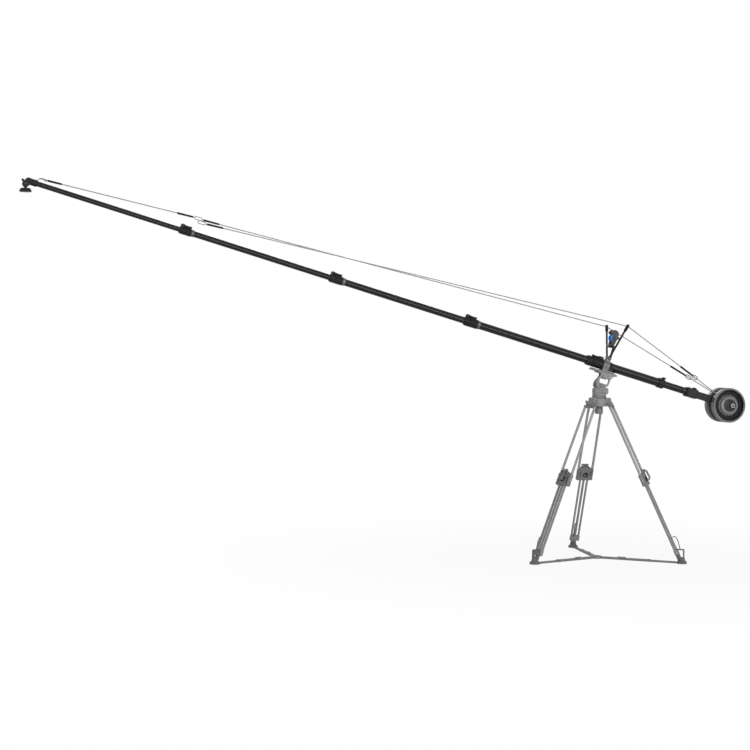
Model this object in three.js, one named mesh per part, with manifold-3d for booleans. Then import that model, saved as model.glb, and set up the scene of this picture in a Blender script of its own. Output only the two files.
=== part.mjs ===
// A telescopic camera jib crane with a guyed boom, on a fluid head and a tripod.
// Millimetres, +Z up. +X points to the counterweights and the tip reaches towards -X.
// The origin is on the ground under the pan axis, below the middle of the ground spreader.

import * as THREE from "three";
import { mergeVertices } from "three/addons/utils/BufferGeometryUtils.js";
import Module from "manifold-3d";

const wasm = await Module();
wasm.setup();

const degrees = Math.PI / 180;
const quarterTurn = Math.PI / 2;
const halfTurn = Math.PI;

// Clearances
const fit = 0.3; // gap between two pieces that meet
const overrun = 4; // how far a cutter runs past what it cuts

// Facets of round pieces
const tubeSides = 16;
const roundSides = 14;
const smallSides = 10;
const pinSides = 8;
const plateSides = 20;
const wireSides = 6;
const bandSides = 4; // rounded ends of bent strips
const leverSteps = 4;
const cornerSteps = 1;

// Where the boom stands
const boomSlope = 15.8 * degrees;
const boomLift = 147; // boom axis above the tilt axis, square to the boom
const boomAhead = 15; // boom's middle plane ahead of the tilt axis

// Boom tubes, from the main tube outwards
const mainTubeRadius = 30;
const tubeWall = 2;
const tubeSlack = 1.25; // room between one tube and the next
const mainTubeFront = 136; // from the boom's middle plane to the front face of the main collar
const sectionReach = [943, 999, 1062, 1020]; // each section, from collar face to collar face
const tubeOverlap = 150; // length of each section that stays inside the larger tube

// Collars on the tube ends
const collarLength = [126, 97, 93, 82];
const collarWall = 6;
const collarNose = 26; // the part that grips the smaller tube
const collarTaper = 9;
const ringLengths = [0, 18, 18, 18]; // plain ring behind each section's collar
const ringWall = 3.5;
const slitWidth = 2.5;
const slitShare = 0.8; // of the collar's length
const lugLength = 27;
const lugHeight = 15;
const lugWidth = 22;
const mainLugInset = 3; // main collar's lug ahead of its rear end
const sectionLugStart = 3;

// Flip levers on the collars
const leverInset = [33, 22, 18, 9]; // each lever's end ahead of its collar's end
const mainLeverStart = 39;
const sectionLeverStart = 33;
const leverPinAngle = 112 * degrees; // round the tube, from the far side over the top
const leverPinStand = 8; // pin above the collar's surface
const leverPinRadius = 2.5;
const leverBoss = 6;
const leverCheek = 4;
const leverCheekRadius = 6.5;
const leverLift = 1.3; // blade above the collar's surface
const leverThickness = 4.5;
const leverEndAngle = 205 * degrees;
const leverLipAngle = 197 * degrees;
const leverLip = 3;

// Tip clamp, levelling head and camera flange
const tipClampLength = 63;
const tipClampWall = 5;
const tipClampDepth = 44; // how far the last tube enters the clamp
const tipPivotAhead = 8; // levelling pivot ahead of the clamp's front face
const tipPivotDrop = 22; // levelling pivot below the boom axis
const tipForkRadius = 22;
const tipForkThickness = 8;
const tipTongueRadius = 20;
const tipTongueWidth = 22;
const tipBoltRadius = 5;
const tipBoltHead = 9;
const tipBoltHeadThickness = 6;
const tipNeckRadius = 9;
const tipEarReach = 19; // screw ear ahead of the levelling pivot
const tipEarRise = 26;
const tipEarRadius = 7;
const tipNeckBottom = 28; // neck's lower end below the levelling pivot
const flangeRadius = 39;
const flangeTopRadius = 28;
const flangeTaper = 10;
const flangeThickness = 24;
const flangeHoleCircle = 29;
const flangeHoleRadius = 3;
const flangeHoles = 4;
const hookWidth = 14;
const hookThickness = 6;
const hookHeight = 42; // top of the wire lug above the boom axis

// Bracket that carries the boom and the mast
const bracketLength = 72;
const bracketWall = 9;
const bracketBaseLength = 100;
const bracketBaseWidth = 64;
const plateDrop = 42; // head plate's top face below the boom axis
const bracketBaseThickness = 9;
const bracketTopWidth = 44;
const bracketTopLength = 44;
const bracketTopHeight = 50; // above the boom axis

// V mast
const mastPosition = 22; // along the boom from its middle plane
const mastHeight = 300; // strut tops above the boom axis
const mastHalfWidth = 193;
const strutFootHeight = 44;
const strutFootOffset = 11;
const strutRadius = 7;
const strutCapRadius = 11;
const strutCapLength = 52;
const socketRadius = 11;
const socketLength = 30;
const socketStart = 6; // socket's closed end, along the strut from its foot

// Hand winch between the struts
const winchPostWidth = 26;
const winchPostThickness = 8;
const winchPostSetBack = 13; // behind the struts' plane
const winchTopBehind = 16; // middle of the cheeks' round top, behind and above the drum's axis
const winchTopRise = 13;
const winchTopRadius = 32;
const winchFootBehind = 21; // middle of their round foot, behind and below it
const winchFootDrop = 46;
const winchFootRadius = 13;
const winchSpacer = 5;
const winchFrameGap = 44; // between the two cheeks
const winchCheek = 4;
const winchFloor = 6;
const drumAxisAhead = 5; // ahead of the struts' plane
const drumAxisHeight = 203; // above the boom axis
const drumFlangeRadius = 27;
const drumCoreRadius = 14;
const drumFlange = 4;
const drumShaftRadius = 7;
const drumSideGap = 1;
const crankThickness = 6;
const crankWidth = 16;
const crankReach = 60;
const crankHubRadius = 13;
const crankHub = 6;
const gripRadius = 8;
const gripLength = 23;

// Rear tube, tail clamp and weight bar
const mainTubeRear = 466; // main tube's rear end from the boom's middle plane
const rearTubeRadius = 25;
const rearCollarLength = 50;
const rearCollarNose = 20;
const rearTubeInside = 80; // length inside the main tube
const tailClampFront = 665;
const tailClampLength = 82;
const tailClampSide = 66;
const tailClampCorner = 9;
const tailSeatDepth = 34;
const barSide = 50;
const barWall = 3;
const barCorner = 5;
const barSeatDepth = 38;
const barReach = 307; // bar's rear end from the tail clamp's seat
const barEyeInset = 111; // eye's front face ahead of the bar's rear end
const barEyeThickness = 8;
const barEyeWidth = 34;
const barEyeHeight = 60; // top above the boom axis

// Clamp knobs
const knobRadius = 13;
const knobHeight = 14;
const knobLobes = 7;
const knobLobeDepth = 4;
const knobStem = 4;
const knobStand = 8; // knob's underside above the clamp
const knobBossRadius = 9;
const knobBossHeight = 5;

// Weights
const axleInset = 25; // axle ahead of the bar's rear end
const axleDrop = 8; // axle below the boom axis
const axleRadius = 12.5;
const axleBeyond = 32; // axle's end beyond the weight's outer face
const plateRadius = 125;
const plateFace = 76; // outer face from the bar's middle plane
const plateRimDepth = 45;
const plateRimWall = 13;
const plateWeb = 6;
const plateWebSet = 22; // web's outer face behind the rim's
const plateHubRadius = 72;
const plateHubTop = 64;
const plateBossRadius = 22;
const retainerFlange = 46;
const retainerFlangeDepth = 6;
const retainerCone = 24;
const retainerConeDepth = 22;
const retainerKnob = 18;
const retainerDepth = 48;
const retainerBoreDepth = 36;

// Guy wires
const wireRadius = 2.5;
const sleeveRadius = 6.5;
const sleeveLength = 112;
const linkLength = 58;
const linkHeight = 24;
const linkDepth = 10;
const linkBar = 6;
const linkNext = 29; // second ring behind the first
const linkDrop = 20; // second ring below the first
const linkPosition = -3038; // middle of the link, along the boom from its middle plane
const linkStand = 107; // above the boom axis
const linkSpread = 5; // front wires' ends to each side
const tipWireStand = 36; // tip wire's end above the boom axis
const rearWireStand = 48;
const rearWireSpread = 9;
const rearSleeveFromEnd = 245;
const buckleRadius = 4.5;
const buckleLength = 46;
const buckleFromSleeve = 22;

// Fluid head
const panBaseRadius = 52;
const panBaseThickness = 15;
const panBodyRadius = 49;
const panBodyHeight = 26;
const tiltAxisRise = 50.4; // tilt axis above the pan body
const panWaist = 42;
const tiltHousingWidth = 68;
const tiltHousingRadius = 34;
const tiltStub = 12;
const tiltStubLength = 13;
const cradleCheek = 10;
const cradleCheekRadius = 30;
const cradleTopHalf = 48;
const cradleWindowHalf = 26; // opening in each cheek, above the tilt drum
const cradleWindowFoot = 38;
const cradleWindowCorner = 12;
const headPlateLength = 198;
const headPlateCentre = -1;
const headPlateWidth = 78;
const headPlateThickness = 20;
const headPlateCorner = 10;
const headPlateRail = 7;
const headPlateRailWidth = 56;

// Tripod crown
const crownHeight = 56;
const crownRadius = 64;
const bowlRadius = 50;
const bowlDepth = 34;
const crownLip = 6;
const crownLugWidth = 50;
const crownLugRadius = 15;
const legPivotRadius = 80;
const legPivotHeight = 1098; // above the ground
const crownRise = 37; // crown's top face above the leg pivots
const legPin = 5;
const bowlStud = 6;
const bowlKnobRadius = 28;
const bowlKnobHeight = 44;
const bowlKnobDrop = 10;
const bowlKnobNeck = 14;

// Tripod legs
const legTurn = -36 * degrees; // the first leg, from +X
const legSpread = 25.6 * degrees;
const legCount = 3;
const legEarThickness = 12;
const legEarRadius = 14;
const legYokeStart = 25;
const legYokeHeight = 40;
const legYokeOver = 14; // yoke's side beyond a tube's axis
const legYokeHalfDepth = 14;
const legTubeRadius = 9;
const legTubeWall = 1.5;
const legTubeGap = 7; // room between each tube and the lower stage
const legUpperLength = 600;
const legClampHeight = 92;
const legClampOver = 12; // clamp's side beyond a tube's axis
const legClampWall = 8; // in front of the lower stage and behind it
const legClampCorner = 9;
const legWindowRadius = 13; // round window in the clamp, above the lower stage
const legWindowDrop = 26;
const stageTubeRadius = 6.5; // the lower stage's two side tubes
const stageRodRadius = 8.5; // and its middle tube
const stageRodWall = 1.5;
const stageWidth = 66;
const stageInside = 42; // length of the lower stage inside the clamp
const stageEnd = 66; // above the ground end, along the leg
const stageBlockHeight = 38;
const stageBlockOver = 3; // block's side beyond the side tubes

// Leg lock levers
const legLeverFromTop = 12; // lever pin below the clamp's upper face
const legLeverStand = 9; // pin in front of the clamp
const legLeverPin = 3;
const legLeverBoss = 7;
const legLeverWidth = 40;
const legLeverCheek = 5;
const legLeverOut = 15; // the bail's bends, in front of the pin and below it
const legLeverOutDrop = 10;
const legLeverBelly = 18;
const legLeverBellyDrop = 62;
const legLeverEnd = 8;
const legLeverEndDrop = 76;
const legLeverRadius = 3;

// Feet
const footRadius = 35;
const footSole = 8;
const footFlare = 6;
const footNeck = 25;
const footNeckTop = 20;
const footHeight = 44;
const ankleRadius = 15;
const ankleStart = 24; // above the ground end, along the leg
const footTongue = 26; // length inside the leg
const padTop = 8; // foot's underside above the ground
const strapWidth = 26;
const strapRadius = 3;
const strapReach = 31;
const strapBend = 84;
const strapTip = 20;
const strapHeight = 94;

// Ground spreader
const hubRadius = 38;
const hubHeight = 19;
const hubEdge = 4;
const armTongue = 12;
const armTongueInside = 20;
const armBodyWidth = 28;
const armBodyHeight = 16;
const armBodyEnd = 385;
const armCatchAt = 182;
const armCatchLength = 56;
const armCatchHeight = 22;
const armCatchWidth = 16;
const armRodWidth = 18;
const padRadius = 37;

// Finishes
const finish = (color, roughness, metalness) =>
  new THREE.MeshStandardMaterial({ color, roughness, metalness });
const tubeBlack = finish(0x1c1d1f, 0.42, 0.3);
const clampBlack = finish(0x121315, 0.5, 0.4);
const knobBlack = finish(0x0e0e10, 0.6, 0);
const bracketSilver = finish(0x8d9092, 0.4, 0.8);
const wireSteel = finish(0x8b8e90, 0.35, 0.9);
const plateGrey = finish(0x5c5f60, 0.45, 0.8);
const retainerDark = finish(0x2b2426, 0.5, 0.3);
const winchGrey = finish(0x4a4b4e, 0.5, 0.6);
const drumBlue = finish(0x1f6fc4, 0.4, 0.2);
const standGrey = finish(0x8f9193, 0.5, 0.5);
const standDark = finish(0x77797b, 0.55, 0.4);
const footRubber = finish(0x6b6c6e, 0.8, 0);

// Outlines, each a list of points

const steps = (count) => [...Array(count).keys()];

// Points along an arc, with both ends
const arc = (x, y, radius, from, to, count) => steps(count + 1).map((n) => {
  const angle = from + (to - from) * n / count;
  return [x + radius * Math.cos(angle), y + radius * Math.sin(angle)];
});

const disc = (radius, x = 0, y = 0, sides = smallSides) =>
  arc(x, y, radius, 0, 2 * halfTurn, sides).slice(1);

// Two half circles of one radius joined by straight sides
function capsule(x1, y1, x2, y2, radius, sides = smallSides) {
  const way = Math.atan2(y2 - y1, x2 - x1);
  return [
    ...arc(x2, y2, radius, way - quarterTurn, way + quarterTurn, sides / 2),
    ...arc(x1, y1, radius, way + quarterTurn, way + quarterTurn + halfTurn, sides / 2),
  ];
}

const roundedBox = (left, bottom, right, top, corner) => [
  ...arc(right - corner, bottom + corner, corner, -quarterTurn, 0, cornerSteps),
  ...arc(right - corner, top - corner, corner, 0, quarterTurn, cornerSteps),
  ...arc(left + corner, top - corner, corner, quarterTurn, halfTurn, cornerSteps),
  ...arc(left + corner, bottom + corner, corner, halfTurn, halfTurn + quarterTurn, cornerSteps),
];

const box = (left, bottom, right, top) => [[left, bottom], [right, bottom], [right, top], [left, top]];

// Part of a ring between two angles
const ringSector = (inner, outer, from, to, count) => [
  ...arc(0, 0, outer, from, to, count),
  ...arc(0, 0, inner, to, from, count),
];

// Solids from outlines

function extrude(points, depth, hole) {
  const shape = new THREE.Shape(points.map(([x, y]) => new THREE.Vector2(x, y)));
  if (hole) shape.holes.push(new THREE.Path(hole.map(([x, y]) => new THREE.Vector2(x, y))));
  return new THREE.ExtrudeGeometry(shape, { depth, bevelEnabled: false });
}

const turned = (geometry, x, y, z) => {
  const basis = new THREE.Matrix4().makeBasis(x, y, z);
  return geometry.applyMatrix4(basis);
};

const unitX = new THREE.Vector3(1, 0, 0);
const unitY = new THREE.Vector3(0, 1, 0);
const unitZ = new THREE.Vector3(0, 0, 1);
const backY = new THREE.Vector3(0, -1, 0);

// Outline in Y and Z, solid from x = start to x = end
const alongX = (points, start, end, hole) =>
  turned(extrude(points, end - start, hole), unitY, unitZ, unitX).translate(start, 0, 0);

// Outline in X and Z, solid from y = start to y = end
const alongY = (points, start, end, hole) =>
  turned(extrude(points, end - start, hole), unitX, unitZ, backY).translate(0, end, 0);

// Outline in X and Y, solid from z = start to z = end
const alongZ = (points, start, end, hole) =>
  extrude(points, end - start, hole).translate(0, 0, start);

// Turned forms: pairs of a place along the axis and a radius, the outer wall in growing order
const lathe = (profile, sides) =>
  new THREE.LatheGeometry(profile.map(([along, radius]) => new THREE.Vector2(radius, along)), sides);
const latheX = (profile, sides = roundSides) => lathe(profile, sides).rotateZ(-quarterTurn);
const latheZ = (profile, sides = roundSides) => lathe(profile, sides).rotateX(quarterTurn);
const latheY = (profile, sides = roundSides) => lathe(profile, sides);

const rod = (start, end, radius) => [[start, 0], [start, radius], [end, radius], [end, 0]];
const pipe = (start, end, outer, inner) => [
  [start, inner], [start, outer], [end, outer], [end, inner], [start, inner],
];

// Joining and cutting

function toSolid(geometry) {
  const plain = geometry.clone();
  plain.deleteAttribute("normal");
  plain.deleteAttribute("uv");
  const merged = mergeVertices(plain);
  const index = merged.index.array;
  const triangles = [];
  for (let n = 0; n < index.length; n += 3) {
    const [a, b, c] = [index[n], index[n + 1], index[n + 2]];
    if (a !== b && b !== c && c !== a) triangles.push(a, b, c);
  }
  return new wasm.Manifold(new wasm.Mesh({
    numProp: 3,
    vertProperties: new Float32Array(merged.attributes.position.array),
    triVerts: new Uint32Array(triangles),
  }));
}

function toGeometry(solid) {
  const mesh = solid.getMesh();
  const geometry = new THREE.BufferGeometry();
  geometry.setAttribute("position", new THREE.BufferAttribute(mesh.vertProperties, mesh.numProp));
  geometry.setIndex(new THREE.BufferAttribute(mesh.triVerts, 1));
  geometry.computeVertexNormals();
  return geometry;
}

const join = (...parts) => toGeometry(parts.map(toSolid).reduce((one, next) => one.add(next)));
const cut = (base, ...tools) =>
  toGeometry(tools.map(toSolid).reduce((one, next) => one.subtract(next), toSolid(base)));

// Assembly

const crane = new THREE.Group();

function groupIn(parent, x = 0, y = 0, z = 0) {
  const group = new THREE.Group();
  group.position.set(x, y, z);
  parent.add(group);
  return group;
}

function place(parent, name, geometry, material, x = 0, y = 0, z = 0) {
  const mesh = new THREE.Mesh(join(geometry), material);
  mesh.name = name;
  mesh.position.set(x, y, z);
  parent.add(mesh);
  return mesh;
}

// Heights, from the leg pivots up
const crownTop = legPivotHeight + crownRise;
const panBaseTop = crownTop + fit + panBaseThickness;
const panBodyFoot = panBaseTop + fit;
const housingBase = panBodyFoot + panBodyHeight;
const tiltHeight = housingBase + tiltAxisRise;

const cradle = groupIn(crane, 0, 0, tiltHeight);
cradle.rotation.y = boomSlope;
const boom = groupIn(cradle, -boomAhead, 0, boomLift);

// Boom tubes

const tubeStep = tubeWall + tubeSlack;
const tubeRadius = [0, 1, 2, 3, 4].map((n) => mainTubeRadius - n * tubeStep);
const collarFace = [-mainTubeFront];
sectionReach.forEach((reach, n) => collarFace.push(collarFace[n] - reach));
const tipFace = collarFace[4];
const sectionNames = ["main", "section_2", "section_3", "section_4", "section_5"];

tubeRadius.forEach((radius, n) => {
  const atTip = n === sectionNames.length - 1;
  const front = atTip ? tipFace + tipClampLength - tipClampDepth : collarFace[n] + collarNose + fit;
  const rear = n === 0 ? mainTubeRear : collarFace[n - 1] + collarNose + tubeOverlap;
  const tube = latheX(pipe(0, rear - front, radius, radius - tubeWall), tubeSides);
  place(boom, `${sectionNames[n]}_tube`, tube, tubeBlack, front);
});

// A split clamp on a tube end, gripping the smaller tube with its nose
function collarBody(large, small, length, ring) {
  const outer = large + collarWall;
  const end = length + ring;
  return latheX([
    [0, small + fit],
    [0, small + collarWall],
    [collarTaper, outer],
    [length, outer],
    [length, large + ringWall],
    [end, large + ringWall],
    [end, large + fit],
    [collarNose, large + fit],
    [collarNose, small + fit],
    [0, small + fit],
  ], tubeSides);
}

// The block over the slit, which the slit parts into two lugs
const collarLug = (outer, start) =>
  alongY(roundedBox(start, outer - collarWall / 2, start + lugLength, outer + lugHeight, lugLength / 4),
    -lugWidth / 2, lugWidth / 2);

const collarSlit = (outer, length) =>
  alongX(box(-slitWidth / 2, 0, slitWidth / 2, outer + lugHeight + overrun), -overrun, length * slitShare);

// A fork with its pin, in which a flip lever turns
function leverFork(outer, start, length) {
  const pin = outer + leverPinStand;
  const foot = outer - collarWall / 2;
  const [side, up] = [Math.cos(leverPinAngle), Math.sin(leverPinAngle)];
  const cheek = capsule(foot * side, foot * up, pin * side, pin * up, leverCheekRadius, pinSides);
  const bar = disc(leverPinRadius, pin * side, pin * up, pinSides);
  const end = start + length;
  return [
    alongX(cheek, start, start + leverCheek),
    alongX(cheek, end - leverCheek, end),
    alongX(bar, start + leverCheek / 2, end - leverCheek / 2),
  ];
}

// A curved lever that lies round the near side of its collar
function flipLever(outer, start, length) {
  const pin = outer + leverPinStand;
  const [pinY, pinZ] = [pin * Math.cos(leverPinAngle), pin * Math.sin(leverPinAngle)];
  const from = start + leverCheek + fit;
  const to = start + length - leverCheek - fit;
  const inner = outer + leverLift;
  const blade = ringSector(inner, inner + leverThickness, leverPinAngle, leverEndAngle, leverSteps);
  const lip = ringSector(inner, inner + leverThickness + leverLip, leverLipAngle, leverEndAngle, 1);
  const body = join(
    alongX(disc(leverBoss, pinY, pinZ), from, to),
    alongX(blade, from, to),
    alongX(lip, from, to),
  );
  return cut(body, alongX(disc(leverPinRadius + fit, pinY, pinZ, pinSides), from - overrun, to + overrun));
}

collarLength.forEach((length, n) => {
  const [large, small] = [tubeRadius[n], tubeRadius[n + 1]];
  const outer = large + collarWall;
  const lugStart = n === 0 ? length - lugLength - mainLugInset : sectionLugStart;
  const leverStart = n === 0 ? mainLeverStart : sectionLeverStart;
  const leverLength = length - leverStart - leverInset[n];
  const bore = latheX(rod(0, length, small + fit), tubeSides);
  const clamp = cut(
    join(
      collarBody(large, small, length, ringLengths[n]),
      cut(
        join(collarLug(outer, lugStart), ...leverFork(outer, leverStart, leverLength)),
        latheX(rod(0, length, outer - collarWall / 2), tubeSides),
      ),
    ),
    collarSlit(outer, length), bore,
  );
  place(boom, `${sectionNames[n]}_collar`, clamp, clampBlack, collarFace[n]);
  const lever = flipLever(outer, leverStart, leverLength);
  place(boom, `${sectionNames[n]}_lever`, lever, knobBlack, collarFace[n]);
});

// Tip clamp with its fork and wire lug, levelling knuckle and camera flange

const tipTube = tubeRadius[4];
const tipOuter = tipTube + tipClampWall;
const tipPivotX = tipFace - tipPivotAhead;
const forkInner = tipTongueWidth / 2 + fit;
const hookSetBack = tipClampLength - hookThickness;
const forkOuter = forkInner + tipForkThickness;

const tipFork = (start, end) =>
  alongY(capsule(tipClampWall, 0, -tipPivotAhead, -tipPivotDrop, tipForkRadius, roundSides), start, end);
const tipSleeve = latheX(rod(0, tipClampLength, tipOuter), tubeSides);
const hookFoot = tipTube + fit;
const hook = cut(
  alongY(capsule(hookSetBack, hookFoot, hookSetBack, hookHeight - hookThickness, hookThickness),
    -hookWidth / 2, hookWidth / 2),
  latheX(rod(0, tipClampLength + overrun, tipTube + fit), tubeSides),
);
const forkRoom = alongY(
  disc(tipTongueRadius + fit + tipClampWall / 2, -tipPivotAhead, -tipPivotDrop, roundSides),
  -forkInner, forkInner);
const forkSlot = alongY(
  box(-tipPivotAhead - tipForkRadius - overrun, -tipPivotDrop - tipForkRadius - overrun,
    -tipPivotAhead, tipOuter + overrun),
  -forkInner, forkInner);
const boltBore = alongY(
  disc(tipBoltRadius + fit, -tipPivotAhead, -tipPivotDrop), -forkOuter - overrun, forkOuter + overrun);
const tipClamp = cut(
  join(tipSleeve, tipFork(-forkOuter, forkOuter), hook),
  latheX(rod(tipClampLength - tipClampDepth - fit, tipClampLength + overrun, tipTube + fit), tubeSides),
  forkRoom, forkSlot, boltBore,
);
place(boom, "tip_clamp", tipClamp, clampBlack, tipFace);

const tipBolt = latheY([
  [-forkOuter - fit - tipBoltHeadThickness, 0],
  [-forkOuter - fit - tipBoltHeadThickness, tipBoltHead],
  [-forkOuter - fit, tipBoltHead],
  [-forkOuter - fit, tipBoltRadius],
  [forkOuter + fit, tipBoltRadius],
  [forkOuter + fit, tipBoltHead],
  [forkOuter + fit + tipBoltHeadThickness, tipBoltHead],
  [forkOuter + fit + tipBoltHeadThickness, 0],
], smallSides);
place(boom, "tip_bolt", tipBolt, knobBlack, tipPivotX, 0, -tipPivotDrop);

// The knuckle and its flange hang level
const tipHead = groupIn(boom, tipPivotX, 0, -tipPivotDrop);
tipHead.rotation.y = -boomSlope;
const knuckle = cut(
  join(
    alongY(disc(tipTongueRadius, 0, 0, roundSides), -tipTongueWidth / 2, tipTongueWidth / 2),
    latheZ(rod(-tipNeckBottom, 0, tipNeckRadius), roundSides),
    alongY(capsule(0, 0, -tipEarReach, tipEarRise, tipEarRadius, pinSides), -tipTongueWidth / 2, tipTongueWidth / 2),
  ),
  alongY(disc(tipBoltRadius + fit), -tipTongueWidth, tipTongueWidth),
);
place(tipHead, "tip_knuckle", knuckle, clampBlack);

const flangeTop = -tipNeckBottom - fit;
const flangeFace = flangeTop - flangeThickness;
const flangeHole = (n) => {
  const angle = (n + 1 / 2) * 2 * halfTurn / flangeHoles;
  return alongZ(
    disc(flangeHoleRadius, flangeHoleCircle * Math.cos(angle), flangeHoleCircle * Math.sin(angle), pinSides),
    flangeFace - overrun, flangeTop + overrun);
};
const flange = cut(
  latheZ([
    [flangeFace, 0], [flangeFace, flangeRadius], [flangeTop - flangeTaper, flangeRadius],
    [flangeTop, flangeTopRadius], [flangeTop, 0],
  ], tubeSides),
  ...steps(flangeHoles).map(flangeHole),
);
place(tipHead, "camera_flange", flange, clampBlack);

// Bracket round the main tube, with sockets for the mast

const strutRun = mastHalfWidth - strutFootOffset;
const strutRise = mastHeight - strutFootHeight;
const strutLength = Math.hypot(strutRun, strutRise);
const strutLean = Math.atan2(strutRun, strutRise);
const bracketOuter = mainTubeRadius + bracketWall;
const bracketFront = collarLength[0] - mainTubeFront + fit;

// Lays a form that stands on Z along a strut; side is -1 on the near side and 1 on the far side
const onStrut = (geometry, side) =>
  geometry.rotateX(-side * strutLean).translate(mastPosition, side * strutFootOffset, strutFootHeight);

const bracketBody = join(
  latheX(rod(bracketFront, bracketFront + bracketLength, bracketOuter), tubeSides),
  alongZ(roundedBox(bracketFront, -bracketBaseWidth / 2, bracketFront + bracketBaseLength,
    bracketBaseWidth / 2, bracketWall), fit - plateDrop, fit - plateDrop + bracketBaseThickness),
  alongX([
    [-bracketBaseWidth / 2, bracketBaseThickness - plateDrop], [bracketBaseWidth / 2, bracketBaseThickness - plateDrop],
    [bracketOuter, 0], [-bracketOuter, 0],
  ], bracketFront, bracketFront + bracketLength),
  alongZ(roundedBox(mastPosition - bracketTopLength / 2, -bracketTopWidth / 2,
    mastPosition + bracketTopLength / 2, bracketTopWidth / 2, bracketWall), 0, bracketTopHeight),
  onStrut(latheZ(rod(0, socketLength, socketRadius)), -1),
  onStrut(latheZ(rod(0, socketLength, socketRadius)), 1),
);
const bracket = cut(
  bracketBody,
  latheX(rod(bracketFront - overrun, bracketFront + bracketBaseLength + overrun, mainTubeRadius + fit), tubeSides),
  onStrut(latheZ(rod(socketStart, socketLength + overrun, strutRadius + fit), smallSides), -1),
  onStrut(latheZ(rod(socketStart, socketLength + overrun, strutRadius + fit), smallSides), 1),
);
place(boom, "pivot_bracket", bracket, bracketSilver);

[["near", -1], ["far", 1]].forEach(([name, side]) => {
  const strut = latheZ([
    [socketStart + fit, 0],
    [socketStart + fit, strutRadius],
    [strutLength - strutCapLength, strutRadius],
    [strutLength - strutCapLength, strutCapRadius],
    [strutLength, strutCapRadius],
    [strutLength, 0],
  ], smallSides);
  const mesh = place(boom, `mast_strut_${name}`, strut, clampBlack,
    mastPosition, side * strutFootOffset, strutFootHeight);
  mesh.rotation.x = -side * strutLean;
});

// Hand winch on a post between the struts

const drumAxisX = mastPosition - drumAxisAhead;
const cheekInner = winchFrameGap / 2;
const cheekOuter = cheekInner + winchCheek;
const cheekTilt = Math.asin((winchTopRadius - winchFootRadius) / (winchTopRise + winchFootDrop));
const winchTopX = drumAxisX + winchTopBehind;
const winchTopZ = drumAxisHeight + winchTopRise;
const winchFootX = drumAxisX + winchFootBehind;
const winchFootZ = drumAxisHeight - winchFootDrop;
const winchCheekForm = [
  ...arc(winchTopX, winchTopZ, winchTopRadius, -cheekTilt, halfTurn + cheekTilt, smallSides),
  ...arc(winchFootX, winchFootZ, winchFootRadius, halfTurn + cheekTilt, 2 * halfTurn - cheekTilt, smallSides / 2),
];
const winchSpacerAt = winchTopRadius - winchSpacer;
const winchFrame = cut(
  join(
    alongY(winchCheekForm, -cheekOuter, -cheekInner),
    alongY(winchCheekForm, cheekInner, cheekOuter),
    alongY(disc(winchSpacer, winchTopX + winchSpacerAt * Math.cos(quarterTurn / 2),
      winchTopZ + winchSpacerAt * Math.sin(quarterTurn / 2), pinSides), -cheekOuter, cheekOuter),
    alongY(roundedBox(winchFootX - winchFootRadius, winchFootZ - winchFootRadius, winchFootX + winchFootRadius,
      winchFootZ - winchFootRadius + winchFloor, winchFloor / 4), -cheekOuter, cheekOuter),
    alongX(roundedBox(-winchPostWidth / 2, bracketTopHeight + fit, winchPostWidth / 2,
      winchFootZ - winchFootRadius + winchFloor / 2, winchPostThickness / 4),
    mastPosition + winchPostSetBack, mastPosition + winchPostSetBack + winchPostThickness),
  ),
  alongY(disc(drumShaftRadius + fit, drumAxisX, drumAxisHeight, roundSides), -cheekOuter - overrun, cheekOuter + overrun),
);
place(boom, "winch_frame", winchFrame, winchGrey);

const drumHalf = cheekInner - drumSideGap;
const drum = latheY([
  [-cheekOuter - crankHub, 0],
  [-cheekOuter - crankHub, drumShaftRadius],
  [-drumHalf, drumShaftRadius],
  [-drumHalf, drumFlangeRadius],
  [drumFlange - drumHalf, drumFlangeRadius],
  [drumFlange - drumHalf, drumCoreRadius],
  [drumHalf - drumFlange, drumCoreRadius],
  [drumHalf - drumFlange, drumFlangeRadius],
  [drumHalf, drumFlangeRadius],
  [drumHalf, drumShaftRadius],
  [cheekOuter + drumFlange, drumShaftRadius],
  [cheekOuter + drumFlange, 0],
]);
const drumMesh = place(boom, "winch_drum", drum, drumBlue, drumAxisX, 0, drumAxisHeight);
drumMesh.rotation.z = halfTurn;

const crankFace = -cheekOuter - drumSideGap;
const crank = cut(
  join(
    alongY(disc(crankHubRadius, 0, 0, roundSides), crankFace - crankHub - crankThickness, crankFace),
    alongY(capsule(0, 0, 0, -crankReach, crankWidth / 2), crankFace - crankHub - crankThickness,
      crankFace - crankHub),
    latheY(rod(crankFace - crankHub - crankThickness - gripLength, crankFace - crankHub, gripRadius))
      .translate(0, 0, -crankReach),
  ),
  alongY(disc(drumShaftRadius + fit, 0, 0, roundSides), -cheekOuter - crankHub - fit, crankFace + overrun),
);
const crankMesh = place(boom, "winch_crank", crank, clampBlack, drumAxisX, 0, drumAxisHeight);
crankMesh.rotation.z = halfTurn;

// Rear collar, rear tube and tail clamp, with their knobs

// A knob with lobes round its rim, on a stem that presses on the tube
function clampKnob(depth) {
  const rim = steps(2 * knobLobes).map((n) => {
    const angle = n * halfTurn / knobLobes;
    const radius = n % 2 === 0 ? knobRadius + knobLobeDepth : knobRadius;
    return [radius * Math.cos(angle), radius * Math.sin(angle)];
  });
  return join(
    alongZ(rim, knobStand, knobStand + knobHeight),
    latheZ(rod(-depth, knobStand + knobHeight / 2, knobStem), smallSides),
  );
}

// A boss with a bore for a knob's stem; top is the height of the face that it stands on
const knobBoss = (x, foot, top) =>
  latheZ(rod(foot, top + knobBossHeight, knobBossRadius)).translate(x, 0, 0);
const knobBore = (x, foot, top) =>
  latheZ(rod(foot, top + knobStand + overrun, knobStem + fit), smallSides).translate(x, 0, 0);

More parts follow.
